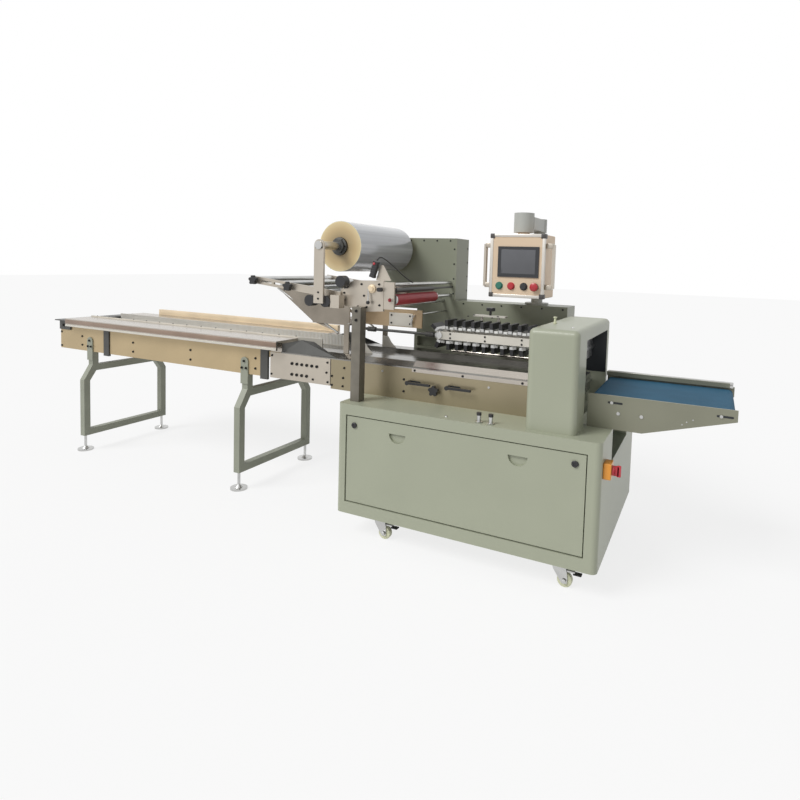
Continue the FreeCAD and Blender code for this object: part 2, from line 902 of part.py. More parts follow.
def make_infeed_table():
    """The folded table sheet with lips, and the trough floor between its halves."""
    lip_bottom = d.table_height - d.table_lip_height
    inner_lip = d.table_half_width - d.table_thickness
    under = d.table_height - d.table_thickness
    support = d.deck_plate_face - d.infeed_plate_thickness
    floor_bottom = d.trough_floor - d.trough_floor_thickness
    half = [
        (-support, floor_bottom),
        (-support, under),
        (-inner_lip, under),
        (-inner_lip, lip_bottom),
        (-d.table_half_width, lip_bottom),
        (-d.table_half_width, d.table_height),
        (-d.trough_half_width - d.guide_thickness, d.table_height),
        (-d.trough_half_width - d.guide_thickness, d.trough_floor),
    ]
    table = profile_body(
        "table_sheet", "YZ", [mirrored_outline(half)], d.table_left, d.table_right - d.table_left
    )
    rail = box(
        "rail_block",
        (d.rail_left, d.table_right),
        (d.table_half_width - d.rail_width, d.table_half_width),
        (d.table_height - 1, d.table_height + d.rail_height),
    )
    node(fuse("infeed_table_joined", [table, rail]), "infeed_table")


def make_trough_guides():
    """Two upright guides along the trough; they run on towards the forming box."""
    pieces = []
    for side, sign in INFEED_SIDES:
        pieces.append(
            side_box(
                "guide",
                side,
                sign,
                (d.table_left, d.guide_right),
                d.trough_half_width,
                d.guide_thickness,
                (d.trough_floor, d.guide_height),
            )
        )
    node(group("guide_pair", pieces), "trough_guides")


def make_tail():
    """The dark tail plate and the tail roller at the infeed's left end."""
    inner = d.deck_plate_face - d.infeed_plate_thickness
    roller_z = d.tail_top - d.tail_roller_radius - 6
    roller_x = d.infeed_left + d.tail_roller_radius + 12
    roller = cylinder(
        "tail_roller", "Y", (roller_x, -inner + 6, roller_z), d.tail_roller_radius, (inner - 6) * 2
    )
    shaft = cylinder("tail_shaft", "Y", (roller_x, -inner - 30, roller_z), 8, (inner + 30) * 2)
    plate = box(
        "tail_plate_block",
        (d.infeed_left, d.table_left - d.seat_gap),
        (-d.table_half_width, d.table_half_width),
        (d.tail_top - 6, d.tail_top),
    )
    cheeks = []
    for side, sign in INFEED_SIDES:
        cheeks.append(
            side_box(
                "tail_cheek",
                side,
                sign,
                (d.infeed_left, d.table_left - d.seat_gap),
                d.deck_plate_face,
                8,
                (d.infeed_plate_top - 20, d.tail_top - 6),
            )
        )
    node(fuse("tail_fused", [roller, shaft, plate] + cheeks), "infeed_tail")


def make_leg_frame(number, x):
    """One welded tube frame: lower posts, inward bends, cross bars and plate tabs."""
    outer = d.foot_half_spacing + d.tube / 2
    inner = d.foot_half_spacing - d.tube / 2
    upper_outer = d.deck_plate_face
    upper_inner = d.deck_plate_face - d.tube
    left_half = [
        (-outer, d.leg_bottom),
        (-outer, d.leg_bend_low),
        (-upper_outer, d.leg_bend_high),
        (-upper_outer, d.infeed_plate_bottom - d.seat_gap),
        (-upper_inner, d.infeed_plate_bottom - d.seat_gap),
        (-upper_inner, d.cross_bar_bottom + d.tube),
    ]
    opening_half = [
        (-inner, d.leg_bottom + d.tube),
        (-inner, d.leg_bend_low - 8),
        (-upper_inner - 16, d.cross_bar_bottom),
    ]
    frame = profile_body(
        f"frame_{number}",
        "YZ",
        [mirrored_outline(left_half), mirrored_outline(opening_half)],
        x - d.tube / 2,
        d.tube,
    )
    pieces = [frame]
    for side, sign in INFEED_SIDES:
        half_width = d.leg_tab_width / 2
        tab = side_box(
            f"tab_{number}",
            side,
            sign,
            (x - half_width, x + half_width),
            d.deck_plate_face,
            d.leg_tab_thickness,
            (d.leg_bend_high + 30, d.leg_tab_top - half_width),
        )
        y_start = -d.deck_plate_face - d.leg_tab_thickness if sign < 0 else d.deck_plate_face
        top = cylinder(
            f"tab_top_{number}_{side}",
            "Y",
            (x, y_start, d.leg_tab_top - half_width),
            half_width,
            d.leg_tab_thickness,
        )
        pieces += [tab, top]
    node(fuse(f"leg_frame_fused_{number}", pieces), f"leg_frame_{number}")


def make_levelling_feet():
    """Four screw feet: disc, cone and stem up into the frame's lower corner."""
    feet = []
    for number, x in (("1", d.leg_1_x), ("2", d.leg_2_x)):
        for side, sign in INFEED_SIDES:
            y = sign * d.foot_half_spacing
            name = f"foot_{number}_{side}"
            disc = cylinder(f"{name}_disc", "Z", (x, y, 0), d.foot_disc_radius, d.foot_disc_thickness)
            hub = cone(
                f"{name}_cone",
                (x, y, d.foot_disc_thickness),
                d.foot_disc_radius * 0.5,
                d.foot_stem_radius,
                d.foot_cone_height,
            )
            stem_start = d.foot_disc_thickness + d.foot_cone_height
            stem = cylinder(
                f"{name}_stem", "Z", (x, y, stem_start), d.foot_stem_radius, d.leg_bottom - stem_start
            )
            feet.append(fuse(name, [disc, hub, stem]))
    node(group("foot_set", feet), "levelling_feet")


# ---------------------------------------------------------------- film carriage

post_back = d.post_front + d.post_side
plate_back = post_back + d.side_plate_thickness


def make_post_and_plate():
    """The square post on the ledge and the front side plate bolted behind its top."""
    post = box(
        "post_block",
        (d.post_left, d.post_left + d.post_side),
        (d.post_front, post_back),
        (d.ledge_height, d.post_top),
    )
    node(post, "square_post")
    outline = [
        (d.side_plate_left, d.side_plate_low_left),
        (d.post_left + d.post_side / 2, d.side_plate_bottom - 8),
        (d.side_plate_right, d.side_plate_bottom),
        (d.side_plate_right, d.side_plate_top),
        (d.side_plate_shoulder_x, d.side_plate_top - 5),
        (d.side_plate_left, d.side_plate_shoulder_z),
    ]
    plate = profile_body("side_plate", "XZ", [outline], post_back, d.side_plate_thickness)
    extension = box(
        "roller_bracket",
        (d.side_plate_right, d.side_plate_right + d.roller_extension),
        (post_back + 2, plate_back),
        (d.side_plate_bottom + 10, d.side_plate_top - 6),
    )
    joined = fuse("side_plate_joined", [plate, extension])
    bore = cylinder(
        "feed_bore",
        "Y",
        (d.feed_roller_x, post_back - 1, d.feed_roller_z),
        d.feed_shaft_radius + d.pin_clearance,
        d.side_plate_thickness + 2,
    )
    node(cut("side_plate_cut", joined, bore), "front_side_plate")


def make_roll_arm():
    """The white arm that holds the mandrel's front end, with its clamp knobs and block."""
    arm_back = d.roll_arm_front + d.roll_arm_thickness
    half = d.roll_arm_width / 2
    bar = box(
        "arm_bar",
        (d.roll_axis_x - half, d.roll_axis_x + half),
        (d.roll_arm_front, arm_back),
        (d.roll_arm_bottom, d.roll_axis_z),
    )
    top = cylinder(
        "arm_top", "Y", (d.roll_axis_x, d.roll_arm_front, d.roll_axis_z), half, d.roll_arm_thickness
    )
    joined = fuse("arm_joined", [bar, top])
    bore = cylinder(
        "arm_bore",
        "Y",
        (d.roll_axis_x, d.roll_arm_front - 1, d.roll_axis_z),
        d.mandrel_radius + d.pin_clearance,
        d.roll_arm_thickness + 2,
    )
    arm = cut("arm_cut", joined, bore)
    knobs = []
    for number, x in (("1", d.clamp_knob_1_x), ("2", d.clamp_knob_2_x)):
        start = (x, arm_back, d.clamp_knob_z)
        knobs.append(cylinder(f"clamp_knob_{number}", "Y", start, d.clamp_knob_radius, d.clamp_knob_length))
    bridge = box(
        "clamp_bridge",
        (d.clamp_knob_1_x, d.clamp_knob_2_x),
        (arm_back + 4, arm_back + d.clamp_knob_length - 4),
        (d.clamp_knob_z - 14, d.clamp_knob_z + 14),
    )
    node(fuse("clamp_knobs_fused", knobs + [bridge]), "clamp_knobs")
    block = box(
        "clamp_block_main",
        (d.clamp_knob_2_x + d.clamp_knob_radius + d.seat_gap, d.side_plate_left + 30),
        (arm_back + 4, post_back - d.former_arm_thickness),
        (d.clamp_knob_z - 28, d.clamp_knob_z + 32),
    )
    node(group("arm_and_block", [arm, block]), "roll_arm")


def make_film_roll():
    """The wound film on its core, and the mandrel with two chucks that turns with it."""
    length = d.roll_back - d.roll_front
    start = (d.roll_axis_x, d.roll_front, d.roll_axis_z)
    wound = cylinder("wound_film", "Y", start, d.roll_radius, length)
    hollow_start = (d.roll_axis_x, d.roll_front - 1, d.roll_axis_z)
    hollow = cylinder("core_hollow", "Y", hollow_start, d.core_radius - d.core_wall, length + 2)
    node(cut("film_roll_cut", wound, hollow), "film_roll")
    shaft = cylinder(
        "mandrel_shaft",
        "Y",
        (d.roll_axis_x, d.roll_arm_front - 6, d.roll_axis_z),
        d.mandrel_radius,
        d.rear_wall_front + d.rear_bearing_bore_depth - 1 - d.roll_arm_front + 6,
    )
    chucks = []
    for side, y in (("front", d.roll_front - 8), ("back", d.roll_back - d.chuck_length + 6)):
        chuck_start = (d.roll_axis_x, y, d.roll_axis_z)
        chucks.append(cylinder(f"chuck_{side}", "Y", chuck_start, d.chuck_radius, d.chuck_length))
    node(fuse("mandrel_fused", [shaft] + chucks), "roll_mandrel")


def former_arm_z(x):
    """Return the height of the arm's centre line at x."""
    run = (x - d.former_arm_left) / (d.former_arm_right - d.former_arm_left)
    return d.former_arm_left_z + (d.former_arm_right_z - d.former_arm_left_z) * run


def make_former_arms():
    """Two sloping arms with adjusting slots that carry the first guide rollers."""
    arms = []
    half = d.former_arm_height / 2
    for side, y in (("front", post_back - d.former_arm_thickness), ("back", d.rear_wall_front - 24)):
        outline = [
            (d.former_arm_left, d.former_arm_left_z - half),
            (d.former_arm_right, d.former_arm_right_z - half),
            (d.former_arm_right, d.former_arm_right_z + half),
            (d.former_arm_left, d.former_arm_left_z + half),
        ]
        holes = []
        for low, high in ((65, 138), (152, 230)):
            slot_left = d.former_arm_left + low
            slot_right = d.former_arm_left + high
            left_z = former_arm_z(slot_left)
            right_z = former_arm_z(slot_right)
            holes.append(
                [
                    (slot_left, left_z - 5),
                    (slot_right, right_z - 5),
                    (slot_right, right_z + 5),
                    (slot_left, left_z + 5),
                ]
            )
        arms.append(
            profile_body(f"former_arm_{side}", "XZ", [outline] + holes, y, d.former_arm_thickness)
        )
    node(group("former_arm_pair", arms), "former_arms")


def make_guide_rollers():
    """Idle rollers between the arms, and the steel rollers by the feed roller."""
    rollers = []
    front = post_back
    back = d.rear_wall_front - 24
    for number, offset in enumerate((30, 190, 350, 470)):
        x = d.former_arm_left + offset
        z = former_arm_z(x)
        body = cylinder(
            f"guide_body_{number}",
            "Y",
            (x, front + d.guide_roller_gap, z),
            d.guide_roller_radius,
            back - front - d.guide_roller_gap * 2,
        )
        shaft = cylinder(f"guide_shaft_{number}", "Y", (x, front, z), d.guide_shaft_radius, back - front)
        rollers.append(fuse(f"guide_roller_{number}", [body, shaft]))
    for number, x, z, radius in (
        ("top", d.feed_roller_x - 4, d.steel_roller_z, d.steel_roller_radius),
        ("low", d.low_roller_x, d.low_roller_z, d.steel_roller_radius - 1),
    ):
        start = (x, plate_back, z)
        rollers.append(
            cylinder(f"steel_roller_{number}", "Y", start, radius, d.rear_wall_front - plate_back)
        )
    node(group("roller_set", rollers), "guide_rollers")


def make_feed_roller():
    """The red rubber feed roller on its steel shaft."""
    start = (d.feed_roller_x, d.feed_roller_front, d.feed_roller_z)
    rubber = cylinder(
        "feed_rubber", "Y", start, d.feed_roller_radius, d.feed_roller_back - d.feed_roller_front
    )
    rounded = round_edges("feed_rubber_rounded", rubber, 5, lambda middle, direction: True)
    shaft = cylinder(
        "feed_shaft",
        "Y",
        (d.feed_roller_x, post_back - 8, d.feed_roller_z),
        d.feed_shaft_radius,
        d.rear_wall_front + d.rear_bearing_bore_depth - 1 - post_back + 8,
    )
    node(fuse("feed_roller_fused", [rounded, shaft]), "feed_roller")


def make_forming_box():
    """The folded triangular sheet that turns the flat film into a tube, with its throat."""
    outline = [
        (d.former_arm_left + 100, 1128),
        (d.former_arm_left + 110, 1134),
        (20, 1100),
        (250, 1050),
        (250, 960),
        (225, 950),
        (20, 950),
    ]
    sheet_side = profile_body("forming_side", "XZ", [outline], -200, 6)
    far_side = profile_body("forming_far_side", "XZ", [outline], 194, 6)
    base = box("forming_base", (20, 250), (-200, 200), (944, 950))
    legs = []
    for side, y in (("front", -198), ("back", 190)):
        legs.append(box(f"forming_leg_{side}", (215, 245), (y, y + 8), (d.deck_shoulder_height, 945)))
    node(fuse("forming_fused", [sheet_side, far_side, base] + legs), "forming_box")
    panel = box("gold_panel_block", (250, 596), (-74, -66), (944, 1034))
    node(panel, "throat_panel")


# ---------------------------------------------------------------- hold-down chain


def make_hold_down():
    """Side bars with sprockets, the bridge with its star screw and the arm to the rear wall."""
    half = d.side_bar_height / 2
    bar_back = d.side_bar_offset + d.side_bar_thickness
    pieces = []
    for side, y in (("front", -bar_back), ("back", d.side_bar_offset)):
        pieces.append(
            box(
                f"side_bar_{side}",
                (d.chain_left - 14, d.chain_right + 14),
                (y, y + d.side_bar_thickness),
                (d.chain_z - half, d.chain_z + half),
            )
        )
    sprocket_radius = d.chain_pitch_radius - d.chain_thickness / 2 - d.seat_gap
    for side, x in (("left", d.chain_left), ("right", d.chain_right)):
        start = (x, -bar_back - 6, d.chain_z)
        pieces.append(cylinder(f"sprocket_shaft_{side}", "Y", start, 9, (bar_back + 6) * 2))
        wheel_start = (x, -d.chain_width / 2, d.chain_z)
        pieces.append(cylinder(f"sprocket_{side}", "Y", wheel_start, sprocket_radius, d.chain_width))
    pieces.append(
        box(
            "hold_down_arm",
            (d.bridge_left + 60, d.bridge_left + 100),
            (bar_back, d.rear_wall_front),
            (d.chain_z - 14, d.chain_z + 14),
        )
    )
    for number, x in (("1", d.bridge_left + 40), ("2", d.bridge_right - 40)):
        pieces.append(
            box(
                f"column_foot_{number}",
                (x - 12, x + 12),
                (bar_back, bar_back + 24),
                (d.chain_z - 12, d.chain_z + 12),
            )
        )
        column_start = (x, bar_back + 12, d.chain_z)
        pieces.append(cylinder(f"column_{number}", "Z", column_start, 7, d.bridge_z - d.chain_z))
    pieces.append(
        box(
            "bridge_plate",
            (d.bridge_left, d.bridge_right),
            (bar_back - 8, bar_back + 32),
            (d.bridge_z, d.bridge_z + 8),
        )
    )
    node(fuse("hold_down_fused", pieces), "hold_down_frame")


def loop_point(distance):
    """Return the point (x, z) and outward direction (x, z) at a distance along the chain."""
    radius = d.chain_pitch_radius.value
    run = d.chain_right.value - d.chain_left.value
    half_turn = math.pi * radius
    distance %= 2 * (run + half_turn)
    if distance < run:
        return d.chain_left.value + distance, d.chain_z.value + radius, 0.0, 1.0
    distance -= run
    if distance < half_turn:
        angle = math.pi / 2 - distance / radius
        x, z = math.cos(angle), math.sin(angle)
        return d.chain_right.value + radius * x, d.chain_z.value + radius * z, x, z
    distance -= half_turn
    if distance < run:
        return d.chain_right.value - distance, d.chain_z.value - radius, 0.0, -1.0
    angle = -math.pi / 2 - (distance - run) / radius
    x, z = math.cos(angle), math.sin(angle)
    return d.chain_left.value + radius * x, d.chain_z.value + radius * z, x, z


def racetrack(radius, half_width):
    """Return a solid racetrack of the given end radius between the two sprocket centres."""
    left, right, z = d.chain_left.value, d.chain_right.value, d.chain_z.value
    y = -half_width
    ends = []
    for x in (left, right):
        ends.append(Part.makeCylinder(radius, half_width * 2, Vector(x, y, z), Vector(0, 1, 0)))
    middle = Part.makeBox(right - left, half_width * 2, radius * 2, Vector(left, y, z - radius))
    return middle.fuse(ends).removeSplitter()


def flight_solid(distance, low, high, width, length):
    """Return a box that stands on the chain at a distance, from low to high above the pitch line."""
    x, z, out_x, out_z = loop_point(distance)
    solid = Part.makeBox(width, length, high - low, Vector(-width / 2, -length / 2, low))
    turn = Rotation(Vector(0, 0, 1), Vector(out_x, 0, out_z))
    solid.Placement = FreeCAD.Placement(Vector(x, 0, z), turn)
    return solid


def make_flight_chain():
    """The closed chain loop with its white carriers, and the black blocks on them."""
    half_thickness = d.chain_thickness.value / 2
    radius = d.chain_pitch_radius.value
    half_width = d.chain_width.value / 2
    band = racetrack(radius + half_thickness, half_width).cut(racetrack(radius - half_thickness, half_width))
    total = 2 * (d.chain_right.value - d.chain_left.value + math.pi * radius)
    count = int(round(total / d.flight_pitch.value))
    base_top = half_thickness + d.flight_base_height.value
    carriers = []
    blocks = []
    for index in range(count):
        distance = total * (index + 0.5) / count
        carriers.append(
            flight_solid(distance, half_thickness - 1, base_top, d.flight_width.value, d.flight_length.value)
        )
        blocks.append(
            flight_solid(
                distance,
                base_top,
                base_top + d.flight_block_height.value,
                d.flight_width.value - 4,
                d.flight_length.value,
            )
        )
    chain = doc.addObject("Part::Feature", "flight_chain")
    chain.Shape = band.fuse(carriers)
    node(chain, "flight_chain")
    pads = doc.addObject("Part::Feature", "flight_blocks")
    pads.Shape = Part.makeCompound(blocks)
    node(pads, "flight_blocks")


def make_drive_rod():
    """The black shaft that drives the hold-down chain, with a coupling at each end."""
    start_x = d.rod_left
    end_x = d.chain_left - 14 - d.seat_gap
    y = -d.side_bar_offset - d.side_bar_thickness / 2
    rod = cylinder("rod", "X", (start_x, y, d.chain_z), d.rod_radius, end_x - start_x)
    left = cylinder("rod_left_coupling", "X", (start_x + 40, y, d.chain_z), d.rod_radius * 1.8, 46)
    right = cylinder("rod_right_coupling", "X", (end_x - 60, y, d.chain_z), d.rod_radius * 1.8, 46)
    bracket = box(
        "rod_bracket",
        (start_x, start_x + 12),
        (y - 14, y + 14),
        (d.deck_shoulder_height, d.chain_z + 14),
    )
    node(fuse("drive_rod_fused", [rod, left, right, bracket]), "drive_rod")


def star_knob(name, axis, start, radius, depth):
    """A five-lobed hand knob whose lobes stand round its hub."""
    hub = cylinder(f"{name}_hub", axis, start, radius * 0.72, depth)
    lobes = []
    for number in range(5):
        angle = math.radians(90 + 72 * number)
        across, up = math.cos(angle) * 0.68, math.sin(angle) * 0.68
        x, y, z = start
        if axis == "Y":
            centre = (x + radius * across, y, z + radius * up)
        else:
            centre = (x + radius * across, y + radius * up, z)
        lobes.append(cylinder(f"{name}_lobe_{number}", axis, centre, radius * 0.32, depth))
    return fuse(name, [hub] + lobes)


def make_hand_controls():
    """Black plastic hand parts: panel locks, dials, clamping levers and star knobs."""
    pieces = make_panel_locks()
    face = -d.deck_plate_face
    for number, x in (("1", d.lever_1_x), ("2", d.lever_2_x)):
        hub = cylinder(f"lever_hub_{number}", "Y", (x, face - 34, d.lever_z), 10, 34)
        arm = box(
            f"lever_arm_{number}",
            (x, x + d.lever_length),
            (face - 34, face - 22),
            (d.lever_z - 5, d.lever_z + 6),
        )
        pieces.append(fuse(f"lever_{number}", [hub, arm]))
    stem = cylinder("star_stem", "Y", (d.star_knob_x, face - 16, d.star_knob_z), 8, 16)
    star = star_knob("star_front", "Y", (d.star_knob_x, face - 34, d.star_knob_z), d.star_knob_radius, 18)
    pieces.append(fuse("star_front_joined", [stem, star]))
    for number, x in (("1", d.dial_1_x), ("2", d.dial_2_x)):
        start = (x, d.dial_y, d.ledge_height + d.dial_height)
        pieces.append(cylinder(f"dial_cap_{number}", "Z", start, d.dial_radius * 1.15, 12))
    bridge_y = d.side_bar_offset + d.side_bar_thickness + 12
    bridge_x = (d.bridge_left + d.bridge_right) / 2
    screw = cylinder("bridge_screw", "Z", (bridge_x, bridge_y, d.bridge_z + 8), 6, 22)
    top = star_knob("star_bridge", "Z", (bridge_x, bridge_y, d.bridge_z + 30), 24, 16)
    pieces.append(fuse("star_bridge_joined", [screw, top]))
    arm_y = post_back - d.former_arm_thickness
    for number, offset in (("1", 37), ("2", 256)):
        x = d.former_arm_left + offset
        z = former_arm_z(x)
        arm_stem = cylinder(f"arm_knob_stem_{number}", "Y", (x, arm_y - 12, z), 7, 12)
        arm_star = star_knob(f"star_arm_{number}", "Y", (x, arm_y - 30, z), 24, 18)
        pieces.append(fuse(f"star_arm_joined_{number}", [arm_stem, arm_star]))
    knob_start = (d.plate_knob_x, post_back - 58, d.plate_knob_z)
    plate_knob = cylinder("plate_knob", "Y", knob_start, d.plate_knob_radius, 40)
    shaft_start = (d.plate_knob_x, post_back - 18, d.plate_knob_z - 25)
    plate_shaft = cylinder("plate_knob_shaft", "Y", shaft_start, 9, 18)
    small_start = (d.small_knob_x, post_back - 24, d.small_knob_z)
    small_knob = cylinder("small_knob", "Y", small_start, 10, 24)
    pieces += [fuse("plate_knob_joined", [plate_knob, plate_shaft]), small_knob]
    node(group("hand_control_set", pieces), "hand_controls")
    stems = []
    for number, x in (("1", d.dial_1_x), ("2", d.dial_2_x)):
        start = (x, d.dial_y, d.ledge_height)
        stems.append(cylinder(f"dial_stem_{number}", "Z", start, d.dial_radius, d.dial_height))
    node(group("dial_stem_pair", stems), "dial_stems")


# ---------------------------------------------------------------- hood, jaws


def make_hood():
    """The end-seal hood: a housing with rounded top edges and a tunnel along X."""
    block = box(
        "hood_block",
        (d.hood_left, d.hood_right),
        (d.hood_front, d.hood_back),
        (d.ledge_height, d.hood_top),
    )

    def top_edge(middle, direction):
        return near(middle.z, d.hood_top) or (near(middle.y, d.hood_front) and abs(direction.z) > 0.9)

    rounded = round_edges("hood_rounded", block, d.hood_edge_radius, top_edge)
    tunnel = box(
        "hood_tunnel",
        (d.hood_left - 1, d.hood_right + 1),
        (d.tunnel_front, d.tunnel_back),
        (d.ledge_height - 1, d.tunnel_top),
    )
    node(cut("hood_cut", rounded, tunnel), "end_seal_hood")


def make_sealing_jaws():
    """Upper and lower jaws on their shafts, between the hood's two inner walls."""
    jaws = []
    for level, low, high in (("upper", 852, 936), ("lower", 690, 772)):
        bar = box(
            f"jaw_{level}",
            (d.jaw_x - 17, d.jaw_x + 17),
            (d.tunnel_front + 40, d.tunnel_back - 40),
            (low, high),
        )
        shaft_start = (d.jaw_x, d.tunnel_front, (low + high) / 2)
        shaft = cylinder(f"jaw_shaft_{level}", "Y", shaft_start, 20, d.tunnel_back - d.tunnel_front)
        jaws.append(fuse(f"jaw_joined_{level}", [bar, shaft]))
    node(group("jaw_pair", jaws), "sealing_jaws")


# ---------------------------------------------------------------- outfeed


def make_outfeed():
    """Tapered side plates, the belt loop round its drums and the far rail."""
    plates = []
    bottom = d.ledge_height + d.seat_gap
    outline = [
        (d.outfeed_left, bottom),
        (d.outfeed_taper_start, bottom),
        (d.outfeed_right, d.outfeed_end_bottom),
        (d.outfeed_right, d.outfeed_top),
        (d.outfeed_left, d.outfeed_top),
    ]
    for side, y in (("front", -d.outfeed_face), ("back", d.outfeed_face - d.outfeed_plate_thickness)):
        plates.append(profile_body(f"outfeed_plate_{side}", "XZ", [outline], y, d.outfeed_plate_thickness))
    cross = []
    for number, x in (("1", d.outfeed_left + 40), ("2", d.outfeed_taper_start - 30)):
        cross.append(
            box(
                f"outfeed_cross_{number}",
                (x, x + 30),
                (-d.outfeed_face + 4, d.outfeed_face - 4),
                (bottom + 20, bottom + 60),
            )
        )
    rail = box(
        "outfeed_rail_block",
        (d.outfeed_left, d.outfeed_right - 20),
        (d.outfeed_face - 30, d.outfeed_face),
        (d.outfeed_top - 1, d.outfeed_top + d.outfeed_rail_height),
    )
    belt_left = d.outfeed_left + 4
    belt_right = d.outfeed_right - 6
    outer = d.belt_drum_radius + d.belt_thickness
    middle_z = d.belt_top - outer
    plate_inner = d.outfeed_face - d.outfeed_plate_thickness
    left_x = belt_left + outer
    right_x = belt_right - outer
    drums = []
    for side, x in (("left", left_x), ("right", right_x)):
        start = (x, -d.belt_half_width, middle_z)
        drums.append(cylinder(f"drum_{side}", "Y", start, d.belt_drum_radius - 0.2, d.belt_half_width * 2))
        shaft_start = (x, -plate_inner - 2, middle_z)
        drums.append(cylinder(f"drum_shaft_{side}", "Y", shaft_start, 8, (plate_inner + 2) * 2))
    slider = box(
        "slider_bed",
        (left_x + outer, right_x - outer),
        (-plate_inner - 2, plate_inner + 2),
        (d.belt_top - d.belt_thickness - 8, d.belt_top - d.belt_thickness - 0.2),
    )
    node(fuse("outfeed_frame_fused", plates + cross + [rail, slider] + drums), "outfeed_frame")
    loops = []
    for name, radius, half_width in (
        ("outer", outer, d.belt_half_width),
        ("inner", d.belt_drum_radius, d.belt_half_width + 1),
    ):
        run = box(
            f"belt_{name}_run",
            (left_x, right_x),
            (-half_width, half_width),
            (middle_z - radius, middle_z + radius),
        )
        ends = []
        for side, x in (("left", left_x), ("right", right_x)):
            start = (x, -half_width, middle_z)
            ends.append(cylinder(f"belt_{name}_{side}", "Y", start, radius, half_width * 2))
        loops.append(fuse(f"belt_{name}", [run] + ends))
    node(cut("belt_band", *loops), "outfeed_belt")


# ---------------------------------------------------------------- control panel


def make_control_panel():
    """The operator box with its head, arm and post."""
    back = d.panel_box_front + d.panel_box_depth
    head_x = (d.panel_box_left + d.panel_box_right) / 2
    head_y = (d.panel_box_front + back) / 2
    case = box(
        "panel_case",
        (d.panel_box_left, d.panel_box_right),
        (d.panel_box_front, back),
        (d.panel_box_bottom, d.panel_box_top),
    )

    rounded = round_edges("panel_case_rounded", case, 6, lambda middle, direction: True)
    neck_start = (head_x, head_y, d.panel_box_top - 1)
    neck = cylinder("panel_neck", "Z", neck_start, d.panel_neck_radius, d.panel_neck_height + 1)
    node(fuse("control_box_fused", [rounded, neck]), "control_box")
    front = d.panel_box_front
    screen_left = head_x - 7 - d.screen_width / 2 + 14
    screen = box(
        "screen_block",
        (screen_left, screen_left + d.screen_width),
        (front - d.screen_stand_out, front),
        (d.screen_bottom, d.screen_bottom + d.screen_height),
    )
    node(screen, "panel_screen")
    buttons = []
    for number, offset in (("1", -86), ("2", -25), ("3", 39)):
        start = (head_x + offset, front - d.button_stand_out, d.button_z)
        buttons.append(cylinder(f"button_{number}", "Y", start, d.button_radius, d.button_stand_out))
    mushroom_start = (head_x + 94, front - d.button_stand_out * 2, d.button_z)
    stem_start = (head_x + 94, front - d.button_stand_out, d.button_z)
    mushroom = cylinder("mushroom", "Y", mushroom_start, d.mushroom_radius, d.button_stand_out)
    mushroom_stem = cylinder("mushroom_stem", "Y", stem_start, d.button_radius, d.button_stand_out)
    buttons.append(fuse("mushroom_joined", [mushroom, mushroom_stem]))
    node(group("button_set", buttons), "panel_buttons")
    handles = []
    middle_z = (d.panel_box_bottom + d.panel_box_top) / 2
    half = d.handle_height / 2
    grip_y = (front + 20, front + 20 + d.handle_width)
    for side, sign in (("left", -1), ("right", 1)):
        edge = d.panel_box_left if sign < 0 else d.panel_box_right
        reach = d.handle_stand_off + d.handle_thickness
        outer = (edge - reach, edge) if sign < 0 else (edge, edge + reach)
        inner = (edge - d.handle_stand_off, edge) if sign < 0 else (edge, edge + d.handle_stand_off)
        whole = box(f"handle_{side}", outer, grip_y, (middle_z - half, middle_z + half))
        hollow = box(
            f"handle_hollow_{side}",
            inner,
            (grip_y[0] - 1, grip_y[1] + 1),
            (middle_z - half + d.handle_thickness, middle_z + half - d.handle_thickness),
        )
        handles.append(cut(f"handle_cut_{side}", whole, hollow))
    node(group("handle_pair", handles), "panel_handles")
    make_panel_arm(head_x, head_y)


def make_panel_arm(head_x, head_y):
    """The swivel head over the panel, the arm and its hub on the post."""
    head_bottom = d.panel_box_top + d.panel_neck_height + d.head_bottom_clearance
    head = cylinder("head", "Z", (head_x, head_y, head_bottom), d.head_radius, d.head_top - head_bottom)
    half = d.arm_side / 2
    tube = box(
        "arm_tube",
        (d.panel_post_x - half, d.panel_post_x + half),
        (head_y + d.head_radius - 10, d.panel_post_y),
        (d.arm_centre_z - half, d.arm_centre_z + half),
    )
    reach = box(
        "arm_reach",
        (head_x - half, d.panel_post_x + half),
        (head_y, head_y + d.head_radius + 10),
        (d.arm_centre_z - half, d.arm_centre_z + half),
    )
    hub_bottom = d.arm_centre_z - half - 4
    hub_start = (d.panel_post_x, d.panel_post_y, hub_bottom)
    hub = cylinder("arm_hub", "Z", hub_start, half + 6, d.arm_side + 8)
    node(fuse("panel_arm_fused", [head, tube, reach, hub]), "panel_arm")
    post_start = (d.panel_post_x, d.panel_post_y, d.low_wall_top)
    flange = cylinder("post_flange", "Z", post_start, d.panel_flange_radius, d.panel_flange_thickness)
    tube_post = cylinder(
        "post_tube", "Z", post_start, d.panel_post_radius, hub_bottom - d.head_bottom_clearance - d.low_wall_top
    )
    node(fuse("panel_post_fused", [flange, tube_post]), "panel_post")


def make_main_switch():
    """The isolator on the cabinet's right end: yellow base and red rotary handle."""
    half = d.switch_base_side / 2
    base = box(
        "switch_base_block",
        (cabinet_right, cabinet_right + d.switch_base_thickness),
        (d.switch_y - half, d.switch_y + half),
        (d.switch_z - half, d.switch_z + half),
    )
    rounded = round_edges("switch_base_rounded", base, 4, lambda middle, direction: True)
    node(rounded, "switch_base")
    face = cabinet_right + d.switch_base_thickness + d.switch_gap
    disc = cylinder("switch_disc", "X", (face, d.switch_y, d.switch_z), d.switch_knob_radius, 8)
    grip = box(
        "switch_grip",
        (face, face + d.switch_knob_length),
        (d.switch_y - 6, d.switch_y + 6),
        (d.switch_z - d.switch_knob_radius + 1, d.switch_z + d.switch_knob_radius - 1),
    )
    node(fuse("switch_knob_fused", [disc, grip]), "switch_knob")


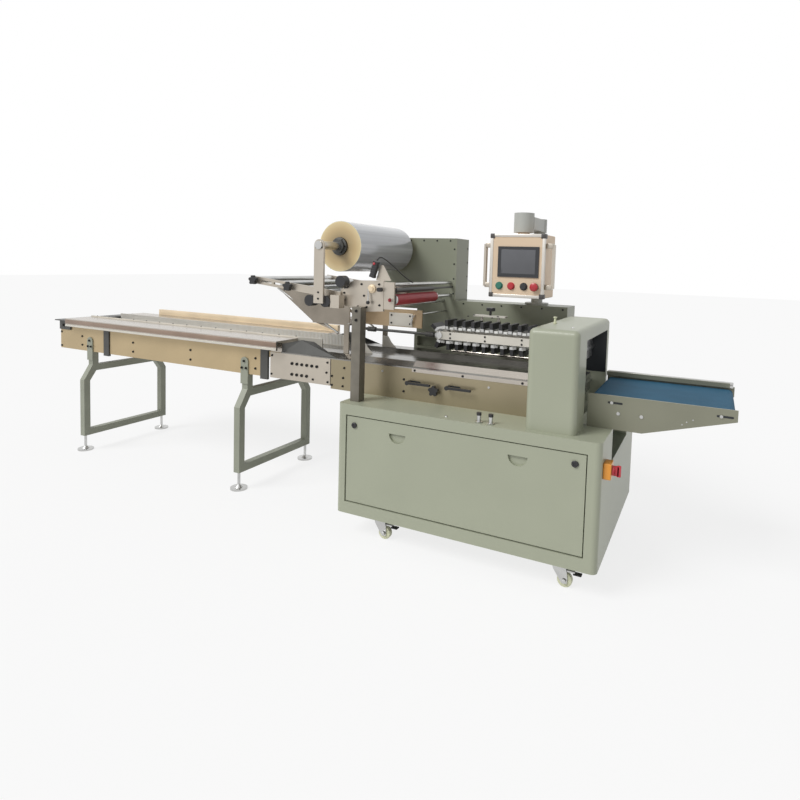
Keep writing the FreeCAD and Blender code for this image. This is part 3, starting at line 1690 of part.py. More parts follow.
def make_film_sensor():
    """The film-mark sensor on its bracket, and the lead to the clip on the upper bar."""
    bracket = profile_body(
        "sensor_bracket",
        "XZ",
        [[(500, 1186), (580, 1186), (535, 1258), (520, 1258)]],
        post_back + 3,
        4,
    )
    case = profile_body(
        "sensor_case",
        "XZ",
        [[(474, 1200), (500, 1192), (524, 1272), (498, 1280)]],
        post_back - 20,
        23,
    )
    node(group("sensor_and_bracket", [bracket, case]), "film_sensor")


def check_and_write():
    """Refuse failed objects and bad shapes, then write one STEP file for each node."""
    doc.recompute()
    for made in doc.Objects:
        if "Invalid" in made.State or "Error" in made.State:
            raise RuntimeError(f"{made.Name}: {made.State}")
    os.makedirs("parts", exist_ok=True)
    for made in NODES:
        if made.Shape.isNull() or not made.Shape.isValid() or not made.Shape.Solids:
            raise RuntimeError(f"{made.Label}: bad shape")
    for made in NODES:
        made.Shape.exportStep(f"parts/{made.Label}.step")
    print(len(NODES), "nodes written")


make_cabinet()
make_access_panel()
make_caster_plates()
for caster in CASTERS:
    make_caster_fork(*caster)
for caster in CASTERS:
    make_caster_wheel(*caster)
make_rear_wall()
make_deck()
make_infeed_plates()
make_uprights()
make_splice_plates()
make_infeed_table()
make_trough_guides()
make_tail()
make_leg_frame("1", d.leg_1_x)
make_leg_frame("2", d.leg_2_x)
make_levelling_feet()
make_post_and_plate()
make_roll_arm()
make_film_roll()
make_former_arms()
make_guide_rollers()
make_feed_roller()
make_forming_box()
make_hold_down()
make_flight_chain()
make_drive_rod()
make_hand_controls()
make_hood()
make_sealing_jaws()
make_outfeed()
make_control_panel()
make_main_switch()
make_film_sensor()
check_and_write()
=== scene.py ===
"""Horizontal flow wrapper: the finishes and fine pieces that dress the machine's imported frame."""

import logging
import math
from dataclasses import dataclass, field
from enum import Enum
from typing import Callable, Iterable, Sequence

import bmesh
import bpy
from mathutils import Matrix, Vector


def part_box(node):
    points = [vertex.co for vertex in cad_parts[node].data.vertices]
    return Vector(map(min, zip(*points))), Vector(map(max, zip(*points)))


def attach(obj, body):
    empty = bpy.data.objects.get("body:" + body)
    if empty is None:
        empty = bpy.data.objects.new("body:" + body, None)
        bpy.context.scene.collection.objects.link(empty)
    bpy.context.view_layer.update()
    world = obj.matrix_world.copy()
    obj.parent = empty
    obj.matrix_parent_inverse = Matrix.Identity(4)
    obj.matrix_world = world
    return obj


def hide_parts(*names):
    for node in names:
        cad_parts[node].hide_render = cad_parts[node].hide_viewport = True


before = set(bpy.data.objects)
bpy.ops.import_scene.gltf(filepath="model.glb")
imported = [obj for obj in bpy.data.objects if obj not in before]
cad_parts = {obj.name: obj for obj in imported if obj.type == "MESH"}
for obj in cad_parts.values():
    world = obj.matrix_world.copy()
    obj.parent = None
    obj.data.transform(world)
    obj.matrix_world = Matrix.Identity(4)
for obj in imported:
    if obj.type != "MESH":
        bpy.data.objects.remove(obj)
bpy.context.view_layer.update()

log = logging.getLogger("flow_wrapper")

Point = tuple[float, float, float]
Pair = tuple[float, float]
Colour = tuple[float, float, float]

MM = 0.001
MACHINE = "machine"

# A turned form's ring closes to a point below this radius.
NO_RADIUS = 1e-7

# No bar runs along this direction, so a bar's section can be laid out from it.
OBLIQUE = Vector((0.31, 0.17, 0.93))

# A bevel or a rounding takes up to this share of the edge beside it.
CORNER_SHARE = 0.45


class Facing(Enum):
    """The way in which a screw head or a disc points."""

    FRONT = (0.0, -1.0, 0.0)
    BACK = (0.0, 1.0, 0.0)
    RIGHT = (1.0, 0.0, 0.0)
    UP = (0.0, 0.0, 1.0)
    DOWN = (0.0, 0.0, -1.0)

    @property
    def vector(self) -> Vector:
        """Return the direction as a vector."""
        return Vector(self.value)

    @property
    def turn(self) -> tuple[float, float, float]:
        """Return the Euler turn that takes +Z to this direction."""
        return tuple(Vector((0, 0, 1)).rotation_difference(self.vector).to_euler())


# ---------------------------------------------------------------------------- finishes


class Nodes:
    """A node tree that is laid out by hand."""

    def __init__(self, tree: bpy.types.NodeTree) -> None:
        """Take a tree.

        Args:
            tree: The tree that nodes are added to.
        """
        self.tree = tree

    def add(self, kind: str, **values: object) -> bpy.types.Node:
        """Add a node.

        Args:
            kind: The node's type.
            **values: Properties of the node.

        Returns:
            The node.
        """
        made = self.tree.nodes.new(kind)
        for name, value in values.items():
            setattr(made, name, value)
        return made

    def link(self, start: bpy.types.NodeSocket, end: bpy.types.NodeSocket) -> None:
        """Join two sockets."""
        self.tree.links.new(start, end)

    def times(self, value: bpy.types.NodeSocket, factor: float) -> bpy.types.NodeSocket:
        """Return a value multiplied by a factor."""
        made = self.add("ShaderNodeMath", operation="MULTIPLY")
        made.inputs[1].default_value = factor
        self.link(value, made.inputs[0])
        return made.outputs["Value"]


class NodeSheet(Nodes):
    """The node tree of a new material with one shader."""

    def __init__(self, name: str) -> None:
        """Start an empty material.

        Args:
            name: The material's name.
        """
        self.material = bpy.data.materials.new(name)
        self.material.use_nodes = True
        super().__init__(self.material.node_tree)
        self.tree.nodes.clear()
        self.shader = self.add("ShaderNodeBsdfPrincipled")
        output = self.add("ShaderNodeOutputMaterial")
        self.link(self.shader.outputs["BSDF"], output.inputs["Surface"])

    def place(self, scale: Point = (1.0, 1.0, 1.0)) -> bpy.types.NodeSocket:
        """Return object coordinates, stretched by a scale.

        Args:
            scale: The stretch along each axis.

        Returns:
            The vector socket.
        """
        coordinates = self.add("ShaderNodeTexCoord")
        mapping = self.add("ShaderNodeMapping")
        mapping.inputs["Scale"].default_value = scale
        self.link(coordinates.outputs["Object"], mapping.inputs["Vector"])
        return mapping.outputs["Vector"]

    def noise(
        self, where: bpy.types.NodeSocket, scale: float, detail: float = 3.0
    ) -> bpy.types.NodeSocket:
        """Return a noise pattern between 0 and 1.

        Args:
            where: The vector that it is read at.
            scale: Its scale.
            detail: Its detail.

        Returns:
            The factor socket.
        """
        made = self.add("ShaderNodeTexNoise")
        made.inputs["Scale"].default_value = scale
        made.inputs["Detail"].default_value = detail
        self.link(where, made.inputs["Vector"])
        return made.outputs["Fac"]

    def ramp(
        self, factor: bpy.types.NodeSocket, stops: Sequence[tuple[float, Colour]]
    ) -> bpy.types.NodeSocket:
        """Turn a factor into a colour by stops.

        Args:
            factor: The factor socket.
            stops: Pairs of a place and a colour.

        Returns:
            The colour socket.
        """
        made = self.add("ShaderNodeValToRGB")
        elements = made.color_ramp.elements
        while len(elements) < len(stops):
            elements.new(0.5)
        for element, (place, colour) in zip(elements, stops):
            element.position = place
            element.color = (*colour, 1.0)
        self.link(factor, made.inputs["Fac"])
        return made.outputs["Color"]

    def spread(self, factor: bpy.types.NodeSocket, low: float, high: float) -> bpy.types.NodeSocket:
        """Map a factor from 0 to 1 onto a range.

        Args:
            factor: The factor socket.
            low: The value at 0.
            high: The value at 1.

        Returns:
            The value socket.
        """
        made = self.add("ShaderNodeMapRange")
        made.inputs["To Min"].default_value = low
        made.inputs["To Max"].default_value = high
        self.link(factor, made.inputs["Value"])
        return made.outputs["Result"]

    def bump(self, height: bpy.types.NodeSocket, strength: float, distance: float) -> None:
        """Raise the surface by a height pattern.

        Args:
            height: The height socket.
            strength: The bump's strength.
            distance: Its depth in metres.
        """
        made = self.add("ShaderNodeBump")
        made.inputs["Strength"].default_value = strength
        made.inputs["Distance"].default_value = distance
        self.link(height, made.inputs["Height"])
        self.link(made.outputs["Normal"], self.shader.inputs["Normal"])


def shaded(colour: Colour, share: float) -> Colour:
    """Return a colour multiplied by a share."""
    return (colour[0] * share, colour[1] * share, colour[2] * share)


@dataclass(frozen=True)
class Paint:
    """What all finishes share: a material that is made once and kept by its name."""

    name: str
    slot: str

    def build(self) -> bpy.types.Material:
        """Return the finish as a material, made once.

        Returns:
            The material.
        """
        known = bpy.data.materials.get(self.name)
        if known is not None:
            return known
        sheet = NodeSheet(self.name)
        self.lay_out(sheet)
        return sheet.material

    def lay_out(self, sheet: NodeSheet) -> None:
        """Lay out the finish's nodes.

        Args:
            sheet: The new material's sheet.
        """
        raise NotImplementedError


@dataclass(frozen=True)
class Finish(Paint):
    """A finish with a colour that varies a little, and a fine grain.

    The grain's stretch sets whether it is even, as on paint, or runs along an axis, as on
    brushed metal.
    """

    colour: Colour
    metallic: float = 0.0
    roughness: float = 0.5
    variation: float = 0.06
    patch_scale: float = 6.0
    grain_scale: float = 900.0
    grain_stretch: Point = (1.0, 1.0, 1.0)
    grain_strength: float = 0.12
    grain_depth: float = 0.0001
    coat: float = 0.0
    specular: float = 0.5

    def lay_out(self, sheet: NodeSheet) -> None:
        """Lay out the patches, the grain and the shader's constants."""
        patches = sheet.noise(sheet.place(), self.patch_scale)
        low = shaded(self.colour, 1.0 - self.variation)
        high = shaded(self.colour, 1.0 + self.variation)
        colour = sheet.ramp(patches, [(0.3, low), (0.7, high)])
        sheet.link(colour, sheet.shader.inputs["Base Color"])
        grain = sheet.noise(sheet.place(self.grain_stretch), self.grain_scale, 2.0)
        roughness = sheet.spread(grain, self.roughness * 0.85, min(1.0, self.roughness * 1.15))
        sheet.link(roughness, sheet.shader.inputs["Roughness"])
        sheet.shader.inputs["Metallic"].default_value = self.metallic
        sheet.shader.inputs["Coat Weight"].default_value = self.coat
        sheet.shader.inputs["Specular IOR Level"].default_value = self.specular
        sheet.bump(grain, self.grain_strength, self.grain_depth)


ALONG_X = (0.02, 1.0, 1.0)
ALONG_Y = (1.0, 0.02, 1.0)

GREEN_PAINT = Finish(
    "green_powder_paint", "green_paint", (0.365, 0.385, 0.29), roughness=0.42, variation=0.03,
    patch_scale=3.0, grain_scale=700.0, grain_strength=0.10, coat=0.12,
)
# Painted shade: the cabinet's green paint made darker because the rear walls stand in shade.
SHADED_WALL_PAINT = Finish(
    "green_paint_with_painted_shade", "green_paint", (0.26, 0.275, 0.205), roughness=0.42, variation=0.05,
    patch_scale=3.0, grain_scale=700.0, grain_strength=0.10, coat=0.12,
)
TUBE_PAINT = Finish(
    "green_tube_paint", "green_paint", (0.30, 0.315, 0.25), roughness=0.45, variation=0.06,
    patch_scale=9.0, grain_scale=700.0, grain_strength=0.12,
)
CHAMPAGNE = Finish(
    "champagne_plate", "champagne", (0.50, 0.39, 0.23), metallic=0.6, roughness=0.36,
    variation=0.05, grain_stretch=ALONG_X, grain_strength=0.10,
)
DECK_CHAMPAGNE = Finish(
    "deck_champagne_plate", "champagne", (0.34, 0.29, 0.19), metallic=0.6, roughness=0.36,
    variation=0.10, patch_scale=2.0, grain_stretch=ALONG_X, grain_strength=0.10,
)
OUTFEED_PLATE = Finish(
    "outfeed_plate", "champagne", (0.25, 0.25, 0.19), metallic=0.55, roughness=0.38,
    variation=0.08, patch_scale=3.0, grain_stretch=ALONG_X, grain_strength=0.10,
)
DECK_STEEL = Finish(
    "deck_sheet", "stainless", (0.27, 0.26, 0.24), metallic=0.9, roughness=0.22,
    variation=0.22, patch_scale=5.0, grain_stretch=ALONG_X, grain_strength=0.08,
)
FORMER_STEEL = Finish(
    "former_sheet", "stainless", (0.30, 0.265, 0.22), metallic=0.9, roughness=0.24,
    variation=0.25, patch_scale=4.0, grain_strength=0.08,
)
GOLD_PANEL = Finish(
    "gold_panel", "champagne", (0.46, 0.34, 0.21), metallic=0.5, roughness=0.36,
    variation=0.06, grain_stretch=ALONG_X, grain_strength=0.08,
)
STAINLESS = Finish(
    "stainless_sheet", "stainless", (0.50, 0.46, 0.41), metallic=0.9, roughness=0.26,
    variation=0.06, grain_stretch=ALONG_X, grain_strength=0.08,
)
STEEL = Finish(
    "machined_steel", "steel", (0.55, 0.55, 0.54), metallic=1.0, roughness=0.28, variation=0.08,
    patch_scale=20.0, grain_strength=0.08,
)
BRIGHT = Finish(
    "bright_aluminium", "bright", (0.52, 0.47, 0.40), metallic=0.7, roughness=0.34,
    variation=0.07, grain_stretch=ALONG_X, grain_strength=0.10,
)
WHITE_METAL = Finish(
    "off_white_bar", "white_metal", (0.66, 0.63, 0.56), metallic=0.35, roughness=0.4,
    variation=0.05,
)
BLACK_PLASTIC = Finish(
    "black_moulding", "black_plastic", (0.02, 0.02, 0.022), roughness=0.42, variation=0.2,
    grain_scale=1500.0, grain_strength=0.2,
)
DARK_METAL = Finish(
    "dark_channel", "dark_metal", (0.09, 0.09, 0.085), metallic=0.5, roughness=0.42,
    variation=0.15, grain_strength=0.1,
)
SCREW_BLACK = Finish(
    "black_oxide_screw", "dark_metal", (0.03, 0.03, 0.03), metallic=0.8, roughness=0.35,
    variation=0.15,
)
WHITE_PLASTIC = Finish(
    "white_nylon", "white_metal", (0.80, 0.80, 0.78), roughness=0.42, variation=0.03,
)
CREAM_PLASTIC = Finish(
    "cream_wheel", "cream_plastic", (0.66, 0.67, 0.48), roughness=0.42, variation=0.06,
    patch_scale=30.0,
)
GALVANISED = Finish(
    "galvanised_tube", "galvanised", (0.19, 0.175, 0.145), metallic=0.6, roughness=0.48,
    variation=0.16, patch_scale=14.0, grain_scale=60.0, grain_strength=0.12,
)
RED_RUBBER = Finish(
    "red_rubber", "rubber_red", (0.38, 0.035, 0.045), roughness=0.45, variation=0.08,
    patch_scale=25.0, grain_scale=1800.0, grain_strength=0.15,
)
BLUE_BELT = Finish(
    "blue_belt", "belt", (0.030, 0.105, 0.175), roughness=0.7, variation=0.10,
    grain_scale=1400.0, grain_strength=0.25, specular=0.2,
)
SCREEN_BLACK = Finish(
    "screen_bezel", "screen", (0.03, 0.032, 0.036), roughness=0.3, variation=0.05,
)
SCREEN_GLASS = Finish(
    "screen_glass", "screen", (0.105, 0.108, 0.12), roughness=0.1, variation=0.1, coat=0.4,
)
BEIGE_FACE = Finish(
    "beige_panel_face", "bright", (0.72, 0.56, 0.40), metallic=0.15, roughness=0.45,
    variation=0.03,
)
EXTRUSION = Finish(
    "frame_extrusion", "bright", (0.66, 0.63, 0.58), metallic=0.6, roughness=0.33,
    variation=0.04,
)
GREY_CORNER = Finish(
    "grey_corner_block", "dark_metal", (0.07, 0.065, 0.062), roughness=0.5, variation=0.12,
)
HEAD_GREY = Finish(
    "pale_grey_casting", "green_paint", (0.44, 0.45, 0.42), roughness=0.42, variation=0.05,
    grain_scale=500.0,
)
BUTTON_GREEN = Finish("button_green", "button", (0.02, 0.17, 0.12), roughness=0.3, coat=0.3)
BUTTON_RED = Finish("button_red", "button", (0.48, 0.02, 0.03), roughness=0.3, coat=0.3)
BUTTON_BLACK = Finish("button_black", "button", (0.015, 0.015, 0.017), roughness=0.3, coat=0.3)
SWITCH_YELLOW = Finish(
    "switch_yellow", "yellow", (0.75, 0.30, 0.03), roughness=0.35, variation=0.05, coat=0.2
)
SWITCH_RED = Finish("switch_red", "red", (0.50, 0.025, 0.04), roughness=0.35, coat=0.2)
CARDBOARD = Finish("roll_core", "film", (0.28, 0.22, 0.15), roughness=0.8, variation=0.1)
# Painted shade: near-black put in openings and slots where only shade is seen.
SHADE_BLACK = Finish(
    "painted_shade_black", "green_paint", (0.012, 0.015, 0.018), roughness=0.55, variation=0.2
)
BROWN_EDGE = Finish(
    "table_edge_strip", "stainless", (0.30, 0.22, 0.17), metallic=0.6, roughness=0.4,
    variation=0.12, patch_scale=5.0, grain_stretch=ALONG_X,
)
GOLD_RAIL = Finish(
    "gold_rail", "champagne", (0.78, 0.64, 0.45), metallic=0.4, roughness=0.35, variation=0.08,
    grain_stretch=ALONG_X,
)


@dataclass(frozen=True)
class FilmFinish(Paint):
    """Clear film wound many times: grey-blue with long streaks along the roll, whose lighter
    colours are painted highlights.
    """

    name: str = "wound_clear_film"
    slot: str = "film"
    streak_scale: float = 34.0
    stops: Sequence[tuple[float, Colour]] = (
        (0.32, (0.38, 0.39, 0.41)), (0.5, (0.48, 0.50, 0.53)), (0.68, (0.60, 0.62, 0.65)),
    )

    def lay_out(self, sheet: NodeSheet) -> None:
        """Lay out the streaks under a clear coat: painted highlights in the colour, and real
        roughness and bump.
        """
        streaks = sheet.noise(sheet.place(ALONG_Y), self.streak_scale, 3.0)
        # The streaks' lighter colours are painted highlights along the roll.
        sheet.link(sheet.ramp(streaks, self.stops), sheet.shader.inputs["Base Color"])
        sheet.link(sheet.spread(streaks, 0.14, 0.30), sheet.shader.inputs["Roughness"])
        sheet.shader.inputs["Metallic"].default_value = 0.1
        sheet.shader.inputs["Coat Weight"].default_value = 0.8
        sheet.shader.inputs["Coat Roughness"].default_value = 0.06
        sheet.bump(streaks, 0.12, 0.0008)


@dataclass(frozen=True)
class RollEndFinish(Paint):
    """The roll's end: yellowish edges of film in fine rings about the axis."""

    name: str = "roll_end_rings"
    slot: str = "film"
    centre_x: float = 0.0
    centre_z: float = 0.0
    inner: float = 0.045
    outer: float = 0.124
    ring_scale: float = 900.0
    stops: Sequence[tuple[float, Colour]] = (
        (0.0, (0.36, 0.27, 0.14)), (0.55, (0.56, 0.42, 0.22)), (0.93, (0.72, 0.58, 0.33)),
        (1.0, (0.86, 0.78, 0.45)),
    )

    def lay_out(self, sheet: NodeSheet) -> None:
        """Lay out the tint and the rings by the distance from the roll's axis."""
        coordinates = sheet.add("ShaderNodeTexCoord")
        mapping = sheet.add("ShaderNodeMapping")
        mapping.inputs["Location"].default_value = (-self.centre_x, 0.0, -self.centre_z)
        mapping.inputs["Scale"].default_value = (1.0, 0.0, 1.0)
        sheet.link(coordinates.outputs["Object"], mapping.inputs["Vector"])
        length = sheet.add("ShaderNodeVectorMath", operation="LENGTH")
        sheet.link(mapping.outputs["Vector"], length.inputs[0])
        tint = sheet.spread(length.outputs["Value"], 0.0, 1.0)
        tint.node.inputs["From Min"].default_value = self.inner
        tint.node.inputs["From Max"].default_value = self.outer
        sheet.link(sheet.ramp(tint, self.stops), sheet.shader.inputs["Base Color"])
        rings = sheet.add("ShaderNodeTexNoise", noise_dimensions="1D")
        rings.inputs["Scale"].default_value = self.ring_scale
        sheet.link(length.outputs["Value"], rings.inputs["W"])
        sheet.link(sheet.spread(rings.outputs["Fac"], 0.25, 0.5), sheet.shader.inputs["Roughness"])
        sheet.shader.inputs["Coat Weight"].default_value = 0.3
        sheet.bump(rings.outputs["Fac"], 0.3, 0.0004)


# ---------------------------------------------------------------------------- mesh tools


def finished_piece(
    name: str, mesh: bpy.types.Mesh, finishes: Sequence[Paint], body: str = MACHINE
) -> bpy.types.Object:
    """Put a mesh into the scene as a piece that rides on a body.

    Args:
        name: The piece's name.
        mesh: Its mesh, in the machine's frame.
        finishes: Its finishes, in the order of its material slots.
        body: The body that it rides on.

    Returns:
        The piece.
    """
    mesh.name = name
    places = [0] * len(mesh.polygons)
    mesh.polygons.foreach_get("material_index", places)
    mesh.materials.clear()
    for finish in finishes:
        mesh.materials.append(finish.build())
    last = len(finishes) - 1
    mesh.polygons.foreach_set("material_index", [min(place, last) for place in places])
    piece = bpy.data.objects.new(name, mesh)
    bpy.context.scene.collection.objects.link(piece)
    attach(piece, body)
    log.info("piece %s: %d faces on %s", name, len(mesh.polygons), body)
    return piece


def smooth_by_angle(mesh: bpy.types.Mesh, degrees: float = 35.0) -> None:
    """Shade a mesh smooth and keep the edges that turn by more than an angle sharp."""
    mesh.polygons.foreach_set("use_smooth", [True] * len(mesh.polygons))
    mesh.set_sharp_from_angle(angle=math.radians(degrees))


def mesh_from(build: Callable[[bmesh.types.BMesh], None], smooth: float = 35.0) -> bpy.types.Mesh:
    """Make a mesh with a function that fills a BMesh.

    Args:
        build: The function.
        smooth: The angle in degrees up to which it is shaded smooth.

    Returns:
        The mesh, with its normals outwards.
    """
    work = bmesh.new()
    build(work)
    bmesh.ops.recalc_face_normals(work, faces=work.faces)
    mesh = bpy.data.meshes.new("work")
    work.to_mesh(mesh)
    work.free()
    smooth_by_angle(mesh, smooth)
    return mesh


def add_box(
    work: bmesh.types.BMesh, low: Point, high: Point, bevel: float = 0.0,
    turn: Matrix | None = None, slot: int = 0, segments: int = 2,
) -> None:
    """Add a box with bevelled edges.

    Args:
        work: The mesh that it is added to.
        low: Its lowest corner.
        high: Its highest corner.
        bevel: The bevel's width.
        turn: A turn about the box's middle.
        slot: The material slot of its faces.
        segments: The number of faces across a bevel.
    """
    middle = (Vector(low) + Vector(high)) / 2
    size = Vector(high) - Vector(low)
    part = bmesh.new()
    bmesh.ops.create_cube(part, size=1.0)
    for vertex in part.verts:
        vertex.co = Vector(tuple(a * b for a, b in zip(vertex.co, size)))
    if bevel > 0:
        width = min(bevel, min(size) * CORNER_SHARE)
        bmesh.ops.bevel(
            part, geom=list(part.edges), offset=width, segments=segments, affect="EDGES",
            profile=0.5,
        )
    place = Matrix.Translation(middle) @ (turn.to_4x4() if turn else Matrix.Identity(4))
    bmesh.ops.transform(part, matrix=place, verts=part.verts)
    for face in part.faces:
        face.material_index = slot
    loose = bpy.data.meshes.new("box_part")
    part.to_mesh(loose)
    part.free()
    work.from_mesh(loose)
    bpy.data.meshes.remove(loose)


def add_band(
    work: bmesh.types.BMesh, lower: Sequence[bmesh.types.BMVert],
    upper: Sequence[bmesh.types.BMVert], slot: int = 0,
) -> None:
    """Join two rings by a band of faces. A ring of one point makes the band a cone.

    Args:
        work: The mesh that it is added to.
        lower: The first ring.
        upper: The second ring, in the same order.
        slot: The material slot of its faces.
    """
    sides = max(len(lower), len(upper))
    if sides == 1:
        return
    for index in range(sides):
        after = (index + 1) % sides
        if len(lower) == 1:
            corners = [lower[0], upper[after], upper[index]]
        elif len(upper) == 1:
            corners = [lower[index], lower[after], upper[0]]
        else:
            corners = [lower[index], lower[after], upper[after], upper[index]]
        work.faces.new(corners).material_index = slot


def add_prism(
    work: bmesh.types.BMesh, near: Sequence[bmesh.types.BMVert],
    far: Sequence[bmesh.types.BMVert], slot: int = 0,
) -> None:
    """Close a prism between two like outlines.

    Args:
        work: The mesh that it is added to.
        near: The first outline.
        far: The second outline, in the same order.
        slot: The material slot of its faces.
    """
    faces = [work.faces.new(near), work.faces.new(list(reversed(far)))]
    count = len(near)
    for index in range(count):
        after = (index + 1) % count
        faces.append(work.faces.new([near[index], far[index], far[after], near[after]]))
    for face in faces:
        face.material_index = slot


def add_lathe(
    work: bmesh.types.BMesh, profile: Sequence[tuple[float, float]], start: Point, facing: Vector,
    sides: int = 32, slot: int = 0,
) -> None:
    """Add a closed turned form.

    Args:
        work: The mesh that it is added to.
        profile: Pairs of a radius and a distance along the axis, from start to end.
        start: The axis's start.
        facing: The axis's direction.
        sides: The number of faces round it.
        slot: The material slot of its faces.
    """
    turn = Vector((0, 0, 1)).rotation_difference(facing).to_matrix().to_4x4()
    place = Matrix.Translation(Vector(start)) @ turn
    rings = []
    for radius, along in profile:
        if radius < NO_RADIUS:
            rings.append([work.verts.new(place @ Vector((0, 0, along)))])
            continue
        ring = []
        for index in range(sides):
            angle = math.tau * index / sides
            local = Vector((radius * math.cos(angle), radius * math.sin(angle), along))
            ring.append(work.verts.new(place @ local))
        rings.append(ring)
    for lower, upper in zip(rings, rings[1:]):
        add_band(work, lower, upper, slot)
    for ring in (rings[0], rings[-1]):
        if len(ring) > 1:
            work.faces.new(ring).material_index = slot


def add_tube(
    work: bmesh.types.BMesh, route: Sequence[Point], radius: float, sides: int = 12, slot: int = 0
) -> None:
    """Add a round bar along a route of straight runs.

    Args:
        work: The mesh that it is added to.
        route: The points that its middle passes.
        radius: Its radius.
        sides: The number of faces round it.
        slot: The material slot of its faces.
    """
    points = [Vector(point) for point in route]
    rings = []
    for index, point in enumerate(points):
        before = (point - points[index - 1]).normalized() if index else None
        after = (points[index + 1] - point).normalized() if index + 1 < len(points) else None
        along = ((before or after) + (after or before)).normalized()
        stretch = 1.0 / max(0.5, along.dot(after or before))
        side = along.cross(OBLIQUE).normalized()
        up = along.cross(side).normalized()
        ring = []
        for number in range(sides):
            angle = math.tau * number / sides
            offset = side * math.cos(angle) + up * math.sin(angle)
            ring.append(work.verts.new(point + offset * radius * (1 + 0.5 * (stretch - 1))))
        rings.append(ring)
    for lower, upper in zip(rings, rings[1:]):
        add_band(work, lower, upper, slot)
    work.faces.new(rings[0]).material_index = slot
    work.faces.new(rings[-1]).material_index = slot


def add_sheet(
    work: bmesh.types.BMesh, corners: Sequence[Point], thickness: float, slot: int = 0
) -> None:
    """Add a flat plate from its outline and thickness.

    Args:
        work: The mesh that it is added to.
        corners: The outline's points, all in one plane.
        thickness: The thickness, half to each side of the outline.
        slot: The material slot of its faces.
    """
    points = [Vector(corner) for corner in corners]
    normal = (points[1] - points[0]).cross(points[2] - points[0]).normalized() * thickness / 2
    near = [work.verts.new(point - normal) for point in points]
    far = [work.verts.new(point + normal) for point in points]
    add_prism(work, near, far, slot)


def add_outline_prism(
    work: bmesh.types.BMesh, outline: Sequence[tuple[float, float]], plane: str,
    start: float, end: float, slot: int = 0,
) -> None:
    """Add a prism from an outline in a main plane.

    Args:
        work: The mesh that it is added to.
        outline: The points in the plane's two directions.
        plane: XZ, YZ or XY.
        start: The prism's start along the third direction.
        end: Its end.
        slot: The material slot of its faces.
    """
    def point(pair: tuple[float, float], depth: float) -> Point:
        """Return a corner in space."""
        if plane == "XZ":
            return (pair[0], depth, pair[1])
        if plane == "YZ":
            return (depth, pair[0], pair[1])
        return (pair[0], pair[1], depth)

    near = [work.verts.new(point(pair, start)) for pair in outline]
    far = [work.verts.new(point(pair, end)) for pair in outline]
    add_prism(work, near, far, slot)


def rounded_outline(
    corners: Sequence[tuple[float, float]], radius: float, steps: int = 6
) -> list[tuple[float, float]]:
    """Return an outline whose corners are rounded.

    Args:
        corners: The outline's corners in order.
        radius: The corner's radius, capped by the runs beside it.
        steps: The number of points on each arc.

    Returns:
        The outline's points.
    """
    points: list[tuple[float, float]] = []
    count = len(corners)
    for index, corner in enumerate(corners):
        here = Vector(corner)
        before = Vector(corners[index - 1]) - here
        after = Vector(corners[(index + 1) % count]) - here
        reach = min(radius, min(before.length, after.length) * CORNER_SHARE)
        start = here + before.normalized() * reach
        end = here + after.normalized() * reach
        for step in range(steps + 1):
            share = step / steps
            bend = start * (1 - share) ** 2 + here * 2 * share * (1 - share) + end * share**2
            points.append((bend.x, bend.y))
    return points


# ---------------------------------------------------------------------------- geometry nodes


class NodeRecipe(Nodes):
    """A Geometry Nodes tree that is filled in by hand and run once."""

    def __init__(self, name: str) -> None:
        """Start a tree with a geometry input and output.

        Args:
            name: The tree's name.
        """
        super().__init__(bpy.data.node_groups.new(name, "GeometryNodeTree"))
        self.socket("Geometry", "NodeSocketGeometry", "INPUT")
        self.socket("Geometry", "NodeSocketGeometry", "OUTPUT")
        self.entry = self.add("NodeGroupInput")
        self.exit = self.add("NodeGroupOutput")

    def socket(self, name: str, kind: str, way: str = "INPUT") -> str:
        """Add a named input or output and return its identifier."""
        return self.tree.interface.new_socket(name=name, in_out=way, socket_type=kind).identifier

    def close(self, instances: bpy.types.NodeSocket) -> None:
        """End the tree in Realize Instances and Set Material.

        Args:
            instances: The socket that holds the instances.
        """
        realize = self.add("GeometryNodeRealizeInstances")
        paint = self.add("GeometryNodeSetMaterial")
        self.link(instances, realize.inputs["Geometry"])
        self.link(realize.outputs["Geometry"], paint.inputs["Geometry"])
        self.link(self.entry.outputs["Material"], paint.inputs["Material"])
        self.link(paint.outputs["Geometry"], self.exit.inputs["Geometry"])


def run_recipe(
    recipe: NodeRecipe, start: bpy.types.Mesh, values: dict[str, object]
) -> bpy.types.Mesh:
    """Run a tree on a mesh and return the result as a plain mesh.

    Args:
        recipe: The tree.
        start: The mesh that it works on.
        values: The value of each input, by the socket's identifier.

    Returns:
        The plain mesh.
    """
    carrier = bpy.data.objects.new("carrier", start)
    bpy.context.scene.collection.objects.link(carrier)
    modifier = carrier.modifiers.new("recipe", "NODES")
    modifier.node_group = recipe.tree
    for identifier, value in values.items():
        modifier[identifier] = value
    bpy.context.view_layer.update()
    evaluated = carrier.evaluated_get(bpy.context.evaluated_depsgraph_get())
    mesh = bpy.data.meshes.new_from_object(evaluated)
    carrier.modifiers.remove(modifier)
    bpy.data.objects.remove(carrier)
    bpy.data.meshes.remove(start)
    return mesh


def points_mesh(points: Iterable[Point]) -> bpy.types.Mesh:
    """Return a mesh of loose points."""
    mesh = bpy.data.meshes.new("points")
    mesh.from_pydata([tuple(point) for point in points], [], [])
    return mesh


